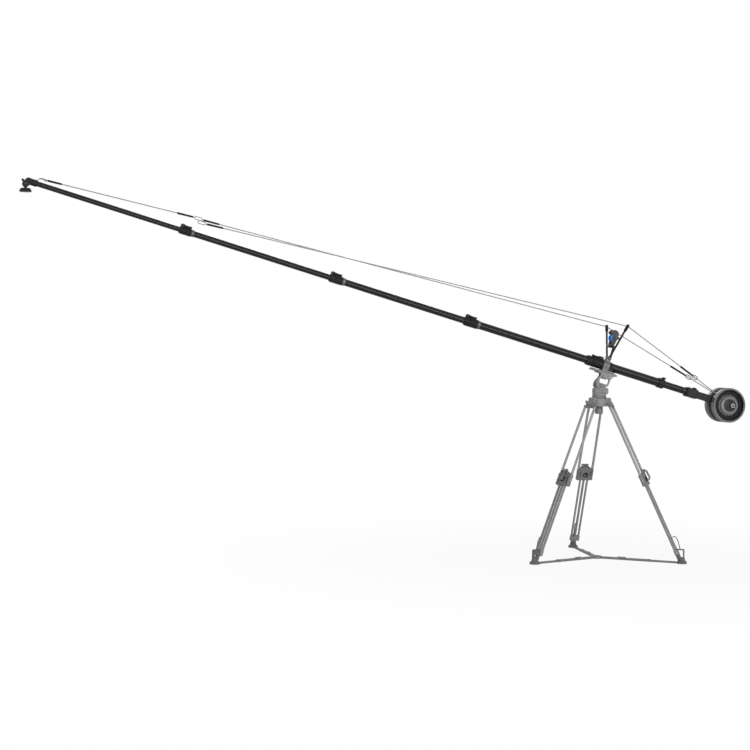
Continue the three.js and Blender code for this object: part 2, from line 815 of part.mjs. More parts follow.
const rearOuter = mainTubeRadius + collarWall;
const rearKnobX = rearCollarLength - rearCollarNose / 2;
const rearCollar = cut(
  join(
    latheX([
      [0, mainTubeRadius + fit],
      [0, rearOuter],
      [rearCollarLength - collarTaper, rearOuter],
      [rearCollarLength, rearTubeRadius + collarWall],
      [rearCollarLength, rearTubeRadius + fit],
      [rearCollarLength - rearCollarNose, rearTubeRadius + fit],
      [rearCollarLength - rearCollarNose, mainTubeRadius + fit],
      [0, mainTubeRadius + fit],
    ], tubeSides),
    cut(knobBoss(rearKnobX, 0, rearOuter),
      latheX(rod(0, rearCollarLength + overrun, rearTubeRadius + collarWall / 2), tubeSides)),
  ),
  knobBore(rearKnobX, 0, rearOuter),
);
const rearCollarX = mainTubeRear + fit + rearCollarNose - rearCollarLength;
place(boom, "rear_collar", rearCollar, clampBlack, rearCollarX);
place(boom, "rear_knob", clampKnob(rearOuter - rearTubeRadius - fit), knobBlack,
  rearCollarX + rearKnobX, 0, rearOuter);

const rearTubeFront = mainTubeRear - rearTubeInside;
const rearTubeEnd = tailClampFront + tailSeatDepth;
place(boom, "rear_tube",
  latheX(pipe(0, rearTubeEnd - rearTubeFront, rearTubeRadius, rearTubeRadius - tubeWall), tubeSides),
  tubeBlack, rearTubeFront);

const clampHalf = tailClampSide / 2;
const barHalf = barSide / 2;
const tailKnobX = tailClampLength - barSeatDepth / 2;
const tailClamp = cut(
  join(
    alongX(roundedBox(-clampHalf, -clampHalf, clampHalf, clampHalf, tailClampCorner), 0, tailClampLength),
    knobBoss(tailKnobX, barHalf + barWall, clampHalf),
  ),
  latheX(rod(-overrun, tailSeatDepth + fit, rearTubeRadius + fit), tubeSides),
  alongX(roundedBox(-barHalf - fit, -barHalf - fit, barHalf + fit, barHalf + fit, barCorner),
    tailClampLength - barSeatDepth, tailClampLength + overrun),
  knobBore(tailKnobX, 0, clampHalf),
);
place(boom, "tail_clamp", tailClamp, clampBlack, tailClampFront);
place(boom, "tail_knob", clampKnob(clampHalf - barHalf - fit), knobBlack,
  tailClampFront + tailKnobX, 0, clampHalf);

const barFront = tailClampFront + tailClampLength - barSeatDepth + fit;
const barRear = barFront + barReach;
const barEyeFront = barRear - barEyeInset;
const axlePosition = barRear - axleInset;
const axleEnd = plateFace + axleBeyond;
const barInner = barHalf - barWall;
const barTube = roundedBox(-barHalf, -barHalf, barHalf, barHalf, barCorner);
const barBore = roundedBox(-barInner, -barInner, barInner, barInner, barWall);
const axle = latheY([
  [-axleEnd, 0], [-axleEnd, axleRadius - tubeWall], [tubeWall - axleEnd, axleRadius],
  [axleEnd - tubeWall, axleRadius], [axleEnd, axleRadius - tubeWall], [axleEnd, 0],
]);
const weightBar = join(
  alongX(barTube, barFront, barRear, barBore),
  alongX(roundedBox(-barEyeWidth / 2, barInner + barWall / 2, barEyeWidth / 2, barEyeHeight, barEyeThickness),
    barEyeFront, barEyeFront + barEyeThickness),
  axle.translate(axlePosition, 0, -axleDrop),
);
place(boom, "weight_bar", weightBar, clampBlack);

// Weights on the axle that is welded through the bar, with the screw knobs that hold them

// Distances from the bar's middle plane, on the far side
const plateBack = plateFace - plateRimDepth;
const webFront = plateFace - plateWebSet;
const bossBack = barHalf + fit;
const rimInner = plateRadius - plateRimWall;
const plateProfile = [
  [plateBack, rimInner],
  [plateBack, plateRadius],
  [plateFace, plateRadius],
  [plateFace, rimInner],
  [webFront, rimInner - plateWeb],
  [webFront, plateHubRadius],
  [plateFace - plateWeb / 2, plateHubTop],
  [plateFace, plateBossRadius],
  [plateFace, axleRadius + fit],
  [bossBack, axleRadius + fit],
  [bossBack, plateBossRadius],
  [plateFace - 2 * plateWeb, plateBossRadius],
  [webFront - plateWeb, plateHubRadius - plateWeb / 2],
  [webFront - plateWeb, rimInner - plateWeb],
  [plateBack, rimInner],
];
const coneEnd = plateFace + fit + retainerConeDepth;
const retainerEnd = plateFace + fit + retainerDepth;
const retainerProfile = [
  [plateFace + fit, axleRadius + fit],
  [plateFace + fit, retainerFlange],
  [plateFace + fit + retainerFlangeDepth, retainerFlange],
  [coneEnd, retainerCone],
  [coneEnd + retainerFlangeDepth, retainerKnob],
  [retainerEnd - retainerFlangeDepth / 2, retainerKnob],
  [retainerEnd, retainerKnob - retainerFlangeDepth / 2],
  [retainerEnd, 0],
  [plateFace + fit + retainerBoreDepth, 0],
  [plateFace + fit + retainerBoreDepth, axleRadius + fit],
  [plateFace + fit, axleRadius + fit],
];
[["near", halfTurn], ["far", 0]].forEach(([name, turn]) => {
  const side = groupIn(boom, axlePosition, 0, -axleDrop);
  side.rotation.z = turn;
  place(side, `weight_plate_${name}`, latheY(plateProfile, plateSides), plateGrey);
  place(side, `weight_knob_${name}`, latheY(retainerProfile, roundSides), retainerDark);
});

// Guy wires

const linkEnd = linkLength / 2;
const linkStraight = linkEnd - linkHeight / 2;
const linkForm = (x, z, radius) => capsule(x - linkStraight, z, x + linkStraight, z, radius);
const linkRing = (x, z) =>
  alongY(linkForm(x, z, linkHeight / 2), -linkDepth / 2, linkDepth / 2,
    linkForm(x, z, linkHeight / 2 - linkBar));
const link = join(linkRing(0, 0), linkRing(linkNext, -linkDrop));
place(boom, "wire_link", link, wireSteel, linkPosition, 0, linkStand);

// A taut wire from one point to another, thicker where it carries a sleeve or a buckle.
// Each swelling has a start measured from the first end, a length and a radius.
function guyWire(name, from, to, swellings) {
  const start = new THREE.Vector3(...from);
  const way = new THREE.Vector3(...to).sub(start);
  const length = way.length();
  const profile = [[0, 0], [0, wireRadius]];
  swellings.forEach(([at, long, radius]) => {
    profile.push([at, wireRadius], [at + wireRadius, radius]);
    profile.push([at + long - wireRadius, radius], [at + long, wireRadius]);
  });
  profile.push([length, wireRadius], [length, 0]);
  const mesh = place(boom, name, latheX(profile, wireSides), wireSteel, ...from);
  mesh.quaternion.setFromUnitVectors(unitX, way.normalize());
}

// Moves a point towards another by a distance
function towards(from, to, distance) {
  const start = new THREE.Vector3(...from);
  const way = new THREE.Vector3(...to).sub(start).normalize();
  return start.addScaledVector(way, distance).toArray();
}

// Where a wire leaves the outside of a strut's cap on its way to another point
function leaveCap(cap, target, side) {
  const way = new THREE.Vector3(...target).sub(new THREE.Vector3(...cap)).normalize();
  const lean = way.dot(new THREE.Vector3(0, side * Math.sin(strutLean), Math.cos(strutLean)));
  const distance = (strutCapRadius + fit + wireRadius * Math.abs(lean)) / Math.sqrt(1 - lean ** 2);
  return towards(cap, target, distance);
}

const between = (from, to) => new THREE.Vector3(...from).distanceTo(new THREE.Vector3(...to));
const sleeveAt = (start) => [start, sleeveLength, sleeveRadius];
const wireSeat = wireRadius / 2 + fit;

const tipWireFrom = [tipFace + hookSetBack + hookThickness + fit, 0, tipWireStand];
const tipWireTo = [linkPosition - linkEnd - fit, 0, linkStand];
const tipWireLength = between(tipWireFrom, tipWireTo);
guyWire("tip_wire", tipWireFrom, tipWireTo,
  [sleeveAt(wireSeat), sleeveAt(tipWireLength - sleeveLength - wireSeat)]);

[["near", -1], ["far", 1]].forEach(([name, side]) => {
  const capTop = [
    mastPosition,
    side * (mastHalfWidth - strutCapRadius * Math.sin(strutLean)),
    mastHeight - strutCapRadius * Math.cos(strutLean),
  ];
  const ring = side < 0 ? [linkNext, linkDrop] : [0, 0];
  const linkPoint = [linkPosition + ring[0] + linkEnd + fit, side * linkSpread, linkStand - ring[1]];
  const frontTo = leaveCap(capTop, linkPoint, side);
  const tail = [barEyeFront - wireSeat, side * rearWireSpread, rearWireStand];
  const rearFrom = leaveCap(capTop, tail, side);
  const rearLength = between(rearFrom, tail);
  guyWire(`front_wire_${name}`, linkPoint, frontTo, [sleeveAt(wireSeat)]);
  const sleeveStart = rearLength - rearSleeveFromEnd - sleeveLength;
  const buckleStart = sleeveStart + sleeveLength + buckleFromSleeve;
  guyWire(`rear_wire_${name}`, rearFrom, tail,
    [sleeveAt(sleeveStart), [buckleStart, buckleLength, buckleRadius]]);
});

// Fluid head

const bowlFloor = Math.sqrt(bowlRadius ** 2 - bowlDepth ** 2);
const crownBottom = crownTop - crownHeight;
const knobTop = crownBottom - bowlKnobDrop;
const ballSteps = 2;
const ballAngle = Math.asin(bowlDepth / bowlRadius);

// Points of a bowl's wall below a rim, from the floor up
const bowlWall = (radius, rim) => steps(ballSteps + 1).map((n) => {
  const angle = ballAngle * (1 - n / ballSteps);
  return [rim - radius * Math.sin(angle), radius * Math.cos(angle)];
});

const panBase = latheZ([
  [knobTop + fit + bowlStud, 0],
  [knobTop + fit + bowlStud, bowlStud],
  [crownTop - bowlDepth, bowlStud],
  ...bowlWall(bowlRadius - fit, crownTop),
  [crownTop + fit, bowlRadius - fit],
  [crownTop + fit, panBaseRadius],
  [panBaseTop - bowlStud / 2, panBaseRadius],
  [panBaseTop, panBaseRadius - bowlStud / 2],
  [panBaseTop, 0],
], tubeSides);
place(crane, "head_base", panBase, standDark);

const housingHalf = tiltHousingWidth / 2;
const housing = [
  [-panWaist, housingBase - overrun],
  [panWaist, housingBase - overrun],
  ...arc(0, tiltHeight, tiltHousingRadius, 0, halfTurn, roundSides / 2),
];
const headBody = join(
  latheZ([
    [panBodyFoot, 0], [panBodyFoot, panBodyRadius], [housingBase - overrun, panBodyRadius],
    [housingBase, panBodyRadius - overrun], [housingBase, 0],
  ], tubeSides),
  alongY(housing, -housingHalf, housingHalf),
  alongY(disc(tiltStub, 0, tiltHeight, tubeSides), -housingHalf - tiltStubLength, housingHalf + tiltStubLength),
);
place(crane, "head_body", headBody, standGrey);

const plateTop = boomLift - plateDrop;
const plateBottom = plateTop - headPlateThickness;
const cheekNear = housingHalf + fit * 2;
const cheekShape = [
  ...arc(0, 0, cradleCheekRadius, halfTurn, 2 * halfTurn, smallSides / 2),
  [cradleTopHalf, plateBottom + headPlateRail],
  [-cradleTopHalf, plateBottom + headPlateRail],
];
const headPlate = cut(
  join(
    alongY(cheekShape, -cheekNear - cradleCheek, -cheekNear),
    alongY(cheekShape, cheekNear, cheekNear + cradleCheek),
    alongZ(roundedBox(headPlateCentre - cradleTopHalf, -cheekNear - cradleCheek,
      headPlateCentre + cradleTopHalf, cheekNear + cradleCheek, headPlateRail), plateBottom, plateTop - headPlateRail),
    alongZ(roundedBox(headPlateCentre - headPlateLength / 2, -headPlateWidth / 2,
      headPlateCentre + headPlateLength / 2, headPlateWidth / 2, headPlateCorner),
    plateBottom + headPlateRail, plateTop - headPlateRail + fit),
    alongZ(roundedBox(headPlateCentre - headPlateLength / 2, -headPlateRailWidth / 2,
      headPlateCentre + headPlateLength / 2, headPlateRailWidth / 2, headPlateRail),
    plateTop - headPlateRail, plateTop),
  ),
  alongY(disc(tiltStub + fit, 0, 0, tubeSides), -cheekNear - cradleCheek - overrun, cheekNear + cradleCheek + overrun),
  alongY(roundedBox(-cradleWindowHalf, cradleWindowFoot, cradleWindowHalf, plateBottom, cradleWindowCorner),
    -cheekNear - cradleCheek - overrun, cheekNear + cradleCheek + overrun),
);
place(cradle, "head_plate", headPlate, standGrey);

// Tripod crown and bowl knob

const legAngles = steps(legCount).map((n) => legTurn + n * 2 * halfTurn / legCount);
const legNames = ["a", "b", "c"];
const crownLug = (angle) =>
  alongY(capsule(bowlRadius, legPivotHeight, legPivotRadius, legPivotHeight, crownLugRadius, pinSides),
    -crownLugWidth / 2, crownLugWidth / 2).rotateZ(angle);
const crownPinBore = (angle) =>
  alongY(disc(legPin + fit, legPivotRadius, legPivotHeight), -crownLugWidth, crownLugWidth).rotateZ(angle);
const crownBody = latheZ([
  [crownBottom, bowlStud + fit],
  [crownBottom, crownRadius - crownLip],
  [crownBottom + crownLip, crownRadius],
  [crownTop - crownLip, crownRadius],
  [crownTop, crownRadius - crownLip / 2],
  [crownTop, bowlRadius],
  ...bowlWall(bowlRadius, crownTop).reverse().slice(1),
  [crownTop - bowlDepth, bowlStud + fit],
  [crownBottom, bowlStud + fit],
], tubeSides);
const bowlRoom = latheZ([
  [crownTop - bowlDepth - fit, 0],
  ...bowlWall(bowlRadius, crownTop),
  [crownTop + overrun, bowlRadius],
  [crownTop + overrun, 0],
], tubeSides);
const crown = cut(join(crownBody, ...legAngles.map(crownLug)), bowlRoom, ...legAngles.map(crownPinBore));
place(crane, "crown", crown, standGrey);

const bowlKnob = latheZ([
  [knobTop - bowlKnobHeight, 0],
  [knobTop - bowlKnobHeight, bowlKnobRadius - overrun],
  [knobTop - bowlKnobHeight + overrun, bowlKnobRadius],
  [knobTop - overrun, bowlKnobRadius],
  [knobTop, bowlKnobRadius - overrun],
  [knobTop, bowlKnobNeck],
  [crownBottom - fit, bowlKnobNeck],
  [crownBottom - fit, bowlStud + fit],
  [knobTop + bowlStud, bowlStud + fit],
  [knobTop + bowlStud, 0],
]);
place(crane, "bowl_knob", bowlKnob, standDark);

// Tripod legs, each in a frame at its pivot whose -Z runs down the leg

const legLength = legPivotHeight / Math.cos(legSpread);
const earInner = crownLugWidth / 2 + fit;
const tubeOffset = stageWidth / 2 + legTubeGap + legTubeRadius;
const legYokeHalfWidth = tubeOffset + legYokeOver;
const legClampHalfWidth = tubeOffset + legClampOver;
const legClampHalfDepth = stageRodRadius + legClampWall;
const stageTubeOffset = stageWidth / 2 - stageTubeRadius;
const clampTop = legUpperLength - legClampHeight;
const stageTop = legUpperLength - stageInside;
const legLeverAt = clampTop + legLeverFromTop;

function legUpper() {
  const ear = capsule(0, 0, 0, -legYokeStart - legYokeHeight / 2, legEarRadius, pinSides);
  const bores = [-tubeOffset, tubeOffset].map((y) =>
    latheZ(rod(-legUpperLength - overrun, -legYokeStart + overrun, legTubeRadius - legTubeWall), smallSides)
      .translate(0, y, 0));
  const tubes = [-tubeOffset, tubeOffset].map((y) =>
    latheZ(rod(-legUpperLength, -legYokeStart - legYokeHeight / 2, legTubeRadius), smallSides).translate(0, y, 0));
  const stageRoom = box(-stageRodRadius - fit, -stageWidth / 2 - fit, stageRodRadius + fit, stageWidth / 2 + fit);
  const pinX = legClampHalfDepth + legLeverStand;
  const cheek = capsule(legClampHalfDepth - legLeverBoss, -legLeverAt, pinX, -legLeverAt, legLeverBoss, pinSides);
  const leverHalf = legLeverWidth / 2 + fit;
  return cut(
    join(
      alongY(ear, -earInner - legEarThickness, -earInner),
      alongY(ear, earInner, earInner + legEarThickness),
      alongY(disc(legPin), -earInner - legEarThickness / 2, earInner + legEarThickness / 2),
      alongX(roundedBox(-legYokeHalfWidth, -legYokeStart - legYokeHeight, legYokeHalfWidth, -legYokeStart,
        legTubeRadius), -legYokeHalfDepth, legYokeHalfDepth),
      ...tubes,
      alongZ(roundedBox(-legClampHalfDepth, -legClampHalfWidth, legClampHalfDepth, legClampHalfWidth,
        legClampCorner), -legUpperLength, -clampTop),
      alongY(cheek, -leverHalf - legLeverCheek, -leverHalf),
      alongY(cheek, leverHalf, leverHalf + legLeverCheek),
      alongY(disc(legLeverPin, pinX, -legLeverAt, pinSides), -leverHalf - legLeverCheek / 2, leverHalf + legLeverCheek / 2),
    ),
    alongZ(stageRoom, -legUpperLength - overrun, -clampTop + overrun),
    alongX(disc(legWindowRadius, 0, -clampTop - legWindowDrop), -legClampHalfDepth - overrun, legClampHalfDepth + overrun),
    ...bores,
  );
}

// Two side tubes and a middle tube, held by a block at each end
function legLower() {
  const [bottom, top] = [stageEnd - legLength, -stageTop];
  const blockHalf = stageWidth / 2 + stageBlockOver;
  const sideTubes = [-stageTubeOffset, stageTubeOffset].map((y) =>
    latheZ(rod(bottom, top, stageTubeRadius), smallSides).translate(0, y, 0));
  return cut(
    join(
      ...sideTubes,
      latheZ(rod(bottom, top, stageRodRadius)),
      alongZ(box(-stageRodRadius, -stageWidth / 2, stageRodRadius, stageWidth / 2), top - stageBlockHeight / 2, top),
      alongZ(roundedBox(-stageRodRadius - stageBlockOver, -blockHalf, stageRodRadius + stageBlockOver, blockHalf,
        stageTubeRadius), bottom, bottom + stageBlockHeight),
    ),
    latheZ(rod(bottom - overrun, top + overrun, stageRodRadius - stageRodWall), smallSides),
  );
}

// A bail that stands off the clamp and bends back to it at its lower end
function legLever() {
  const half = legLeverWidth / 2;
  const bends = [
    [0, 0], [legLeverOut, -legLeverOutDrop], [legLeverBelly, -legLeverBellyDrop], [legLeverEnd, -legLeverEndDrop],
  ];
  const bars = bends.slice(1).map(([x, z], n) =>
    alongY(capsule(bends[n][0], bends[n][1], x, z, legLeverRadius, bandSides), -half, half));
  return cut(
    join(alongY(disc(legLeverBoss), -half, half), ...bars),
    alongY(disc(legLeverPin + fit, 0, 0, pinSides), -half - overrun, half + overrun),
  );
}

// A rubber foot that stands level, with an ankle along the leg, a tongue inside it and a strap at its outer side
function footBody() {
  const solePlate = padTop + footSole;
  const base = latheZ([
    [padTop, 0], [padTop, footRadius], [solePlate, footRadius], [solePlate + footFlare, footNeck],
    [footHeight, footNeckTop], [footHeight, 0],
  ], tubeSides);
  const ankle = latheZ(rod(ankleStart, stageEnd - fit, ankleRadius), smallSides).rotateY(-legSpread);
  const tongue = latheZ(rod(ankleStart, stageEnd + footTongue, stageRodRadius - stageRodWall - fit), smallSides)
    .rotateY(-legSpread);
  const strap = join(
    alongY(capsule(strapReach, solePlate - strapRadius, strapReach, strapBend, strapRadius, bandSides),
      -strapWidth / 2, strapWidth / 2),
    alongY(capsule(strapReach, strapBend, strapTip, strapHeight, strapRadius, bandSides),
      -strapWidth / 2, strapWidth / 2),
  );
  return join(base, ankle, tongue, strap);
}

legAngles.forEach((angle, n) => {
  const stand = groupIn(crane);
  stand.rotation.z = angle;
  const leg = groupIn(stand, legPivotRadius, 0, legPivotHeight);
  leg.rotation.y = -legSpread;
  place(leg, `leg_${legNames[n]}_upper`, legUpper(), standGrey);
  place(leg, `leg_${legNames[n]}_lower`, legLower(), standDark);
  place(leg, `leg_${legNames[n]}_lever`, legLever(), standDark,
    legClampHalfDepth + legLeverStand, 0, -legLeverAt);
  const ankle = groupIn(leg, 0, 0, -legLength);
  ankle.rotation.y = legSpread;
  place(ankle, `foot_${legNames[n]}`, footBody(), footRubber);
});

// Ground spreader

const footReach = legPivotRadius + legPivotHeight * Math.tan(legSpread);
const hubSlot = (angle) =>
  alongZ(box(hubRadius - armTongueInside - fit, -armTongue / 2 - fit, hubRadius + overrun,
    armTongue / 2 + fit), -overrun, hubHeight + overrun).rotateZ(angle);
const hub = cut(
  latheZ([
    [0, 0], [0, hubRadius], [hubHeight - hubEdge, hubRadius], [hubHeight, hubRadius - hubEdge], [hubHeight, 0],
  ], tubeSides),
  ...legAngles.map(hubSlot),
);
place(crane, "spreader_hub", hub, standDark);

const padThickness = padTop - fit;
const arm = join(
  alongZ(box(hubRadius - armTongueInside, -armTongue / 2, hubRadius + armTongue, armTongue / 2),
    0, armBodyHeight),
  alongX(roundedBox(-armBodyWidth / 2, 0, armBodyWidth / 2, armBodyHeight, hubEdge), hubRadius + hubEdge, armBodyEnd),
  alongX([
    [-armCatchWidth / 2, hubEdge], [armCatchWidth / 2, hubEdge],
    [armCatchWidth / 2 - hubEdge, armCatchHeight], [hubEdge - armCatchWidth / 2, armCatchHeight],
  ], armCatchAt - armCatchLength / 2, armCatchAt + armCatchLength / 2),
  alongX(box(-armRodWidth / 2, 0, armRodWidth / 2, padThickness), armBodyEnd - armTongue,
    footReach - padRadius / 2),
  latheZ(rod(0, padThickness, padRadius), tubeSides).translate(footReach, 0, 0),
);
legAngles.forEach((angle, n) => {
  const mesh = place(crane, `spreader_arm_${legNames[n]}`, arm, standDark);
  mesh.rotation.z = angle;
});

export default crane;
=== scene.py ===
import math
import bmesh
import bpy
from mathutils import Matrix, Quaternion, Vector


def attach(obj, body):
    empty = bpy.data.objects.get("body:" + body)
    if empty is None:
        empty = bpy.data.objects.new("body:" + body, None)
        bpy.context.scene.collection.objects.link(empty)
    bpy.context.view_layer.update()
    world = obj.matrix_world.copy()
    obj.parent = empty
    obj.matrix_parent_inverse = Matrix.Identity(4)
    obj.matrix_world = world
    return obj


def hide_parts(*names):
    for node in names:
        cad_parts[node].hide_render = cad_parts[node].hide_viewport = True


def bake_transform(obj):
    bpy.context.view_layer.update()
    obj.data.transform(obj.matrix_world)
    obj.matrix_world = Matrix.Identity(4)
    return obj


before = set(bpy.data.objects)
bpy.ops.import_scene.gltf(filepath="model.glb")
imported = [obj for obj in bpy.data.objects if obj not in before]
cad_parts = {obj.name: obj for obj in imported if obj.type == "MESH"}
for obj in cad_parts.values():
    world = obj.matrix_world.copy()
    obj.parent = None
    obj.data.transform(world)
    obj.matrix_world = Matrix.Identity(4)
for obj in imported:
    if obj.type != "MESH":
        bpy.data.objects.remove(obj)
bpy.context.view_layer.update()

# ---- camera, in metres

CAMERA_AT = (-4.3647, -10.5053, 1.4511)
CAMERA_TURN = math.radians(14.521)
CAMERA_PITCH = math.radians(-0.898)
CAMERA_ROLL = math.radians(0.942)
LENS, SENSOR, VIEW_DEPTH = 76.3, 36.0, 100.0

cam_data = bpy.data.cameras.new("camera")
cam_data.lens = LENS
cam_data.sensor_width = SENSOR
cam_data.clip_end = VIEW_DEPTH
camera = bpy.data.objects.new("camera", cam_data)
bpy.context.scene.collection.objects.link(camera)
look = Vector((math.sin(CAMERA_TURN) * math.cos(CAMERA_PITCH),
               math.cos(CAMERA_TURN) * math.cos(CAMERA_PITCH), math.sin(CAMERA_PITCH)))
camera.rotation_mode = "QUATERNION"
camera.rotation_quaternion = look.to_track_quat("-Z", "Y") @ Quaternion((0, 0, 1), CAMERA_ROLL)
camera.location = CAMERA_AT
bpy.context.scene.camera = camera

# ---- frames, in millimetres

MM = 0.001
TILT_Z = 1227.0
SLOPE = math.radians(15.8)
LIFT = 147.0  # from the tilt axis up to the boom's
BOOM_AHEAD = 15.0
LEG_LEAN = math.radians(25.6)
LEG_PIVOT_R, LEG_PIVOT_Z = 80.0, 1098.0
LEG_LENGTH = LEG_PIVOT_Z / math.cos(LEG_LEAN)
LEG_ANGLES = [math.radians(-36.0 + 120.0 * n) for n in range(3)]


def shift(x=0.0, y=0.0, z=0.0):
    return Matrix.Translation((x, y, z))


def turn(angle, axis):
    return Matrix.Rotation(angle, 4, axis)


WORLD = Matrix.Identity(4)
CRADLE = shift(z=TILT_Z) @ turn(SLOPE, "Y")
BOOM = CRADLE @ shift(x=-BOOM_AHEAD, z=LIFT)


def stand(n):
    return turn(LEG_ANGLES[n], "Z")


def leg(n):
    return stand(n) @ shift(LEG_PIVOT_R, 0, LEG_PIVOT_Z) @ turn(-LEG_LEAN, "Y")


# ---- materials

MIDDLE = (0.3, 0.7)  # where most of a noise's values lie
WEAVE = 420.0  # checks along a metre of tube


def rgb(v, tint=(1.0, 1.0, 1.0)):
    return (v * tint[0], v * tint[1], v * tint[2], 1.0)


def node(tree, kind, **values):
    """A new node with its inputs set by name, where an underscore stands for a space."""
    made = tree.nodes.new(kind)
    for key, value in values.items():
        made.inputs[key.replace("_", " ")].default_value = value
    return made


class Mat:
    """A material with a Principled shader and small helpers for its nodes."""

    def __init__(self, name, metallic=0.0, specular=0.5):
        self.mat = bpy.data.materials.new(name)
        self.mat.use_nodes = True
        self.tree = self.mat.node_tree
        self.bsdf = self.tree.nodes["Principled BSDF"]
        self.bsdf.inputs["Metallic"].default_value = metallic
        self.bsdf.inputs["Specular IOR Level"].default_value = specular
        self.coord = self.tree.nodes.new("ShaderNodeTexCoord")

    def link(self, a, b):
        self.tree.links.new(a, b)

    def mapping(self, scale=(1, 1, 1), rotation=(0, 0, 0), uv=False):
        m = node(self.tree, "ShaderNodeMapping", Scale=scale, Rotation=rotation)
        self.link(self.coord.outputs["UV" if uv else "Object"], m.inputs["Vector"])
        return m.outputs["Vector"]

    def noise(self, scale, detail=4.0, rough=0.55, vector=None):
        n = node(self.tree, "ShaderNodeTexNoise", Scale=scale, Detail=detail, Roughness=rough)
        self.link(vector if vector else self.coord.outputs["Object"], n.inputs["Vector"])
        return n.outputs["Fac"]

    def ramp(self, fac, low, dark, high, light):
        """From the colour dark at low to the colour light at high."""
        r = self.tree.nodes.new("ShaderNodeValToRGB")
        for el, at, colour in zip(r.color_ramp.elements, (low, high), (dark, light)):
            el.position = at
            el.color = colour
        self.link(fac, r.inputs["Fac"])
        return r.outputs["Color"]

    def mix(self, fac, a, b, mode="MIX"):
        m = self.tree.nodes.new("ShaderNodeMix")
        m.data_type = "RGBA"
        m.blend_type = mode
        for value, sock in ((fac, m.inputs[0]), (a, m.inputs[6]), (b, m.inputs[7])):
            if isinstance(value, bpy.types.NodeSocket):
                self.link(value, sock)
            else:
                sock.default_value = value
        return m.outputs[2]

    def span(self, fac, low, high, within=(0.0, 1.0)):
        """The values within a range, spread from low to high."""
        m = node(self.tree, "ShaderNodeMapRange", From_Min=within[0], From_Max=within[1],
                 To_Min=low, To_Max=high)
        self.link(fac, m.inputs["Value"])
        return m.outputs["Result"]

    def scuffs(self, scale, detail, rough, low, high, strength):
        """Scattered worn spots: how much of the worn tone shows."""
        spots = self.ramp(self.noise(scale, detail, rough), low, rgb(0.0), high, rgb(1.0))
        return self.span(spots, 0.0, strength)

    def finish(self, tone, rough, height, distance, strength=1.0):
        """The colour, the roughness and the bump on the shader."""
        b = node(self.tree, "ShaderNodeBump", Distance=distance, Strength=strength)
        self.link(height, b.inputs["Height"])
        self.link(tone, self.bsdf.inputs["Base Color"])
        self.link(rough, self.bsdf.inputs["Roughness"])
        self.link(b.outputs["Normal"], self.bsdf.inputs["Normal"])
        return self.mat


def surface(name, dark, light, rough, metallic=0.0, specular=0.5, grain=900.0, depth=0.00006, wear=None,
            tint=(1, 1, 1), stretch=None):
    """A finished surface: blotched colour, a fine grain that may be stretched, and uneven gloss.

    wear is the scuffs' scale, their strength and their tone.
    """
    m = Mat(name, metallic, specular)
    big = m.noise(14.0, 5.0, 0.6)
    fine = m.noise(grain, 3.0, 0.6, m.mapping(stretch) if stretch else None)
    tone = m.ramp(big, 0.3, rgb(dark, tint), 0.72, rgb(light, tint))
    tone = m.mix(1.0, tone, m.span(fine, 0.86, 1.14, MIDDLE), "MULTIPLY")
    if wear:
        tone = m.mix(m.scuffs(wear[0], 8.0, 0.72, 0.60, 0.70, wear[1]), tone, rgb(wear[2], tint))
    return m.finish(tone, m.span(big, rough - 0.07, rough + 0.08, MIDDLE), fine, depth)


def carbon():
    """Woven tube under a thin satin resin, from the tube's own running lengths."""
    m = Mat("carbon_tube", 0.0, 0.22)
    check = node(m.tree, "ShaderNodeTexChecker", Scale=1.0, Color1=rgb(0.003), Color2=rgb(0.007))
    m.link(m.mapping((WEAVE, WEAVE, 1.0), (0, 0, math.radians(45)), uv=True), check.inputs["Vector"])
    thread = m.noise(160.0, 3.0, 0.6, m.mapping((24.0, 1.0, 1.0), uv=True))
    tone = m.mix(0.35, check.outputs["Color"], m.ramp(thread, 0.3, rgb(0.003), 0.7, rgb(0.009)))
    tone = m.mix(m.scuffs(30.0, 8.0, 0.75, 0.64, 0.72, 0.14), tone, rgb(0.04))
    rough = m.span(m.noise(22.0, 4.0, 0.6), 0.23, 0.28, MIDDLE)
    return m.finish(tone, rough, check.outputs["Fac"], 0.00001, 0.4)


def strands(name, dark, light, pitch):
    """Twisted wire: fine lines that wind round the wire's length."""
    m = Mat(name, 0.6, 0.4)
    wave = node(m.tree, "ShaderNodeTexWave", Scale=pitch, Distortion=0.4)
    wave.wave_type = "BANDS"
    wave.bands_direction = "X"
    m.link(m.mapping(rotation=(0, 0, math.radians(58)), uv=True), wave.inputs["Vector"])
    lay = wave.outputs["Fac"]
    tone = m.ramp(lay, 0.1, rgb(dark), 0.8, rgb(light))
    tone = m.mix(m.span(m.noise(40.0, 4.0), 0.0, 0.2, (0.35, 0.7)), tone, rgb(dark))
    return m.finish(tone, m.span(lay, 0.46, 0.3), lay, 0.0003)


def enamel(name, dark, light, rough, depth, metallic=0.25, specular=0.3):
    """Cast metal under thick enamel: a pebbled skin with chips along it."""
    m = Mat(name, metallic, specular)
    pebble = m.noise(260.0, 4.0, 0.5)
    blotch = m.noise(9.0, 5.0, 0.6)
    tone = m.ramp(blotch, 0.3, rgb(dark), 0.7, rgb(light))
    tone = m.mix(m.scuffs(48.0, 9.0, 0.74, 0.63, 0.69, 0.4), tone, rgb(light * 1.9))
    tone = m.mix(1.0, tone, m.span(pebble, 0.84, 1.16, MIDDLE), "MULTIPLY")
    return m.finish(tone, m.span(blotch, rough - 0.06, rough + 0.08, MIDDLE), pebble, depth)


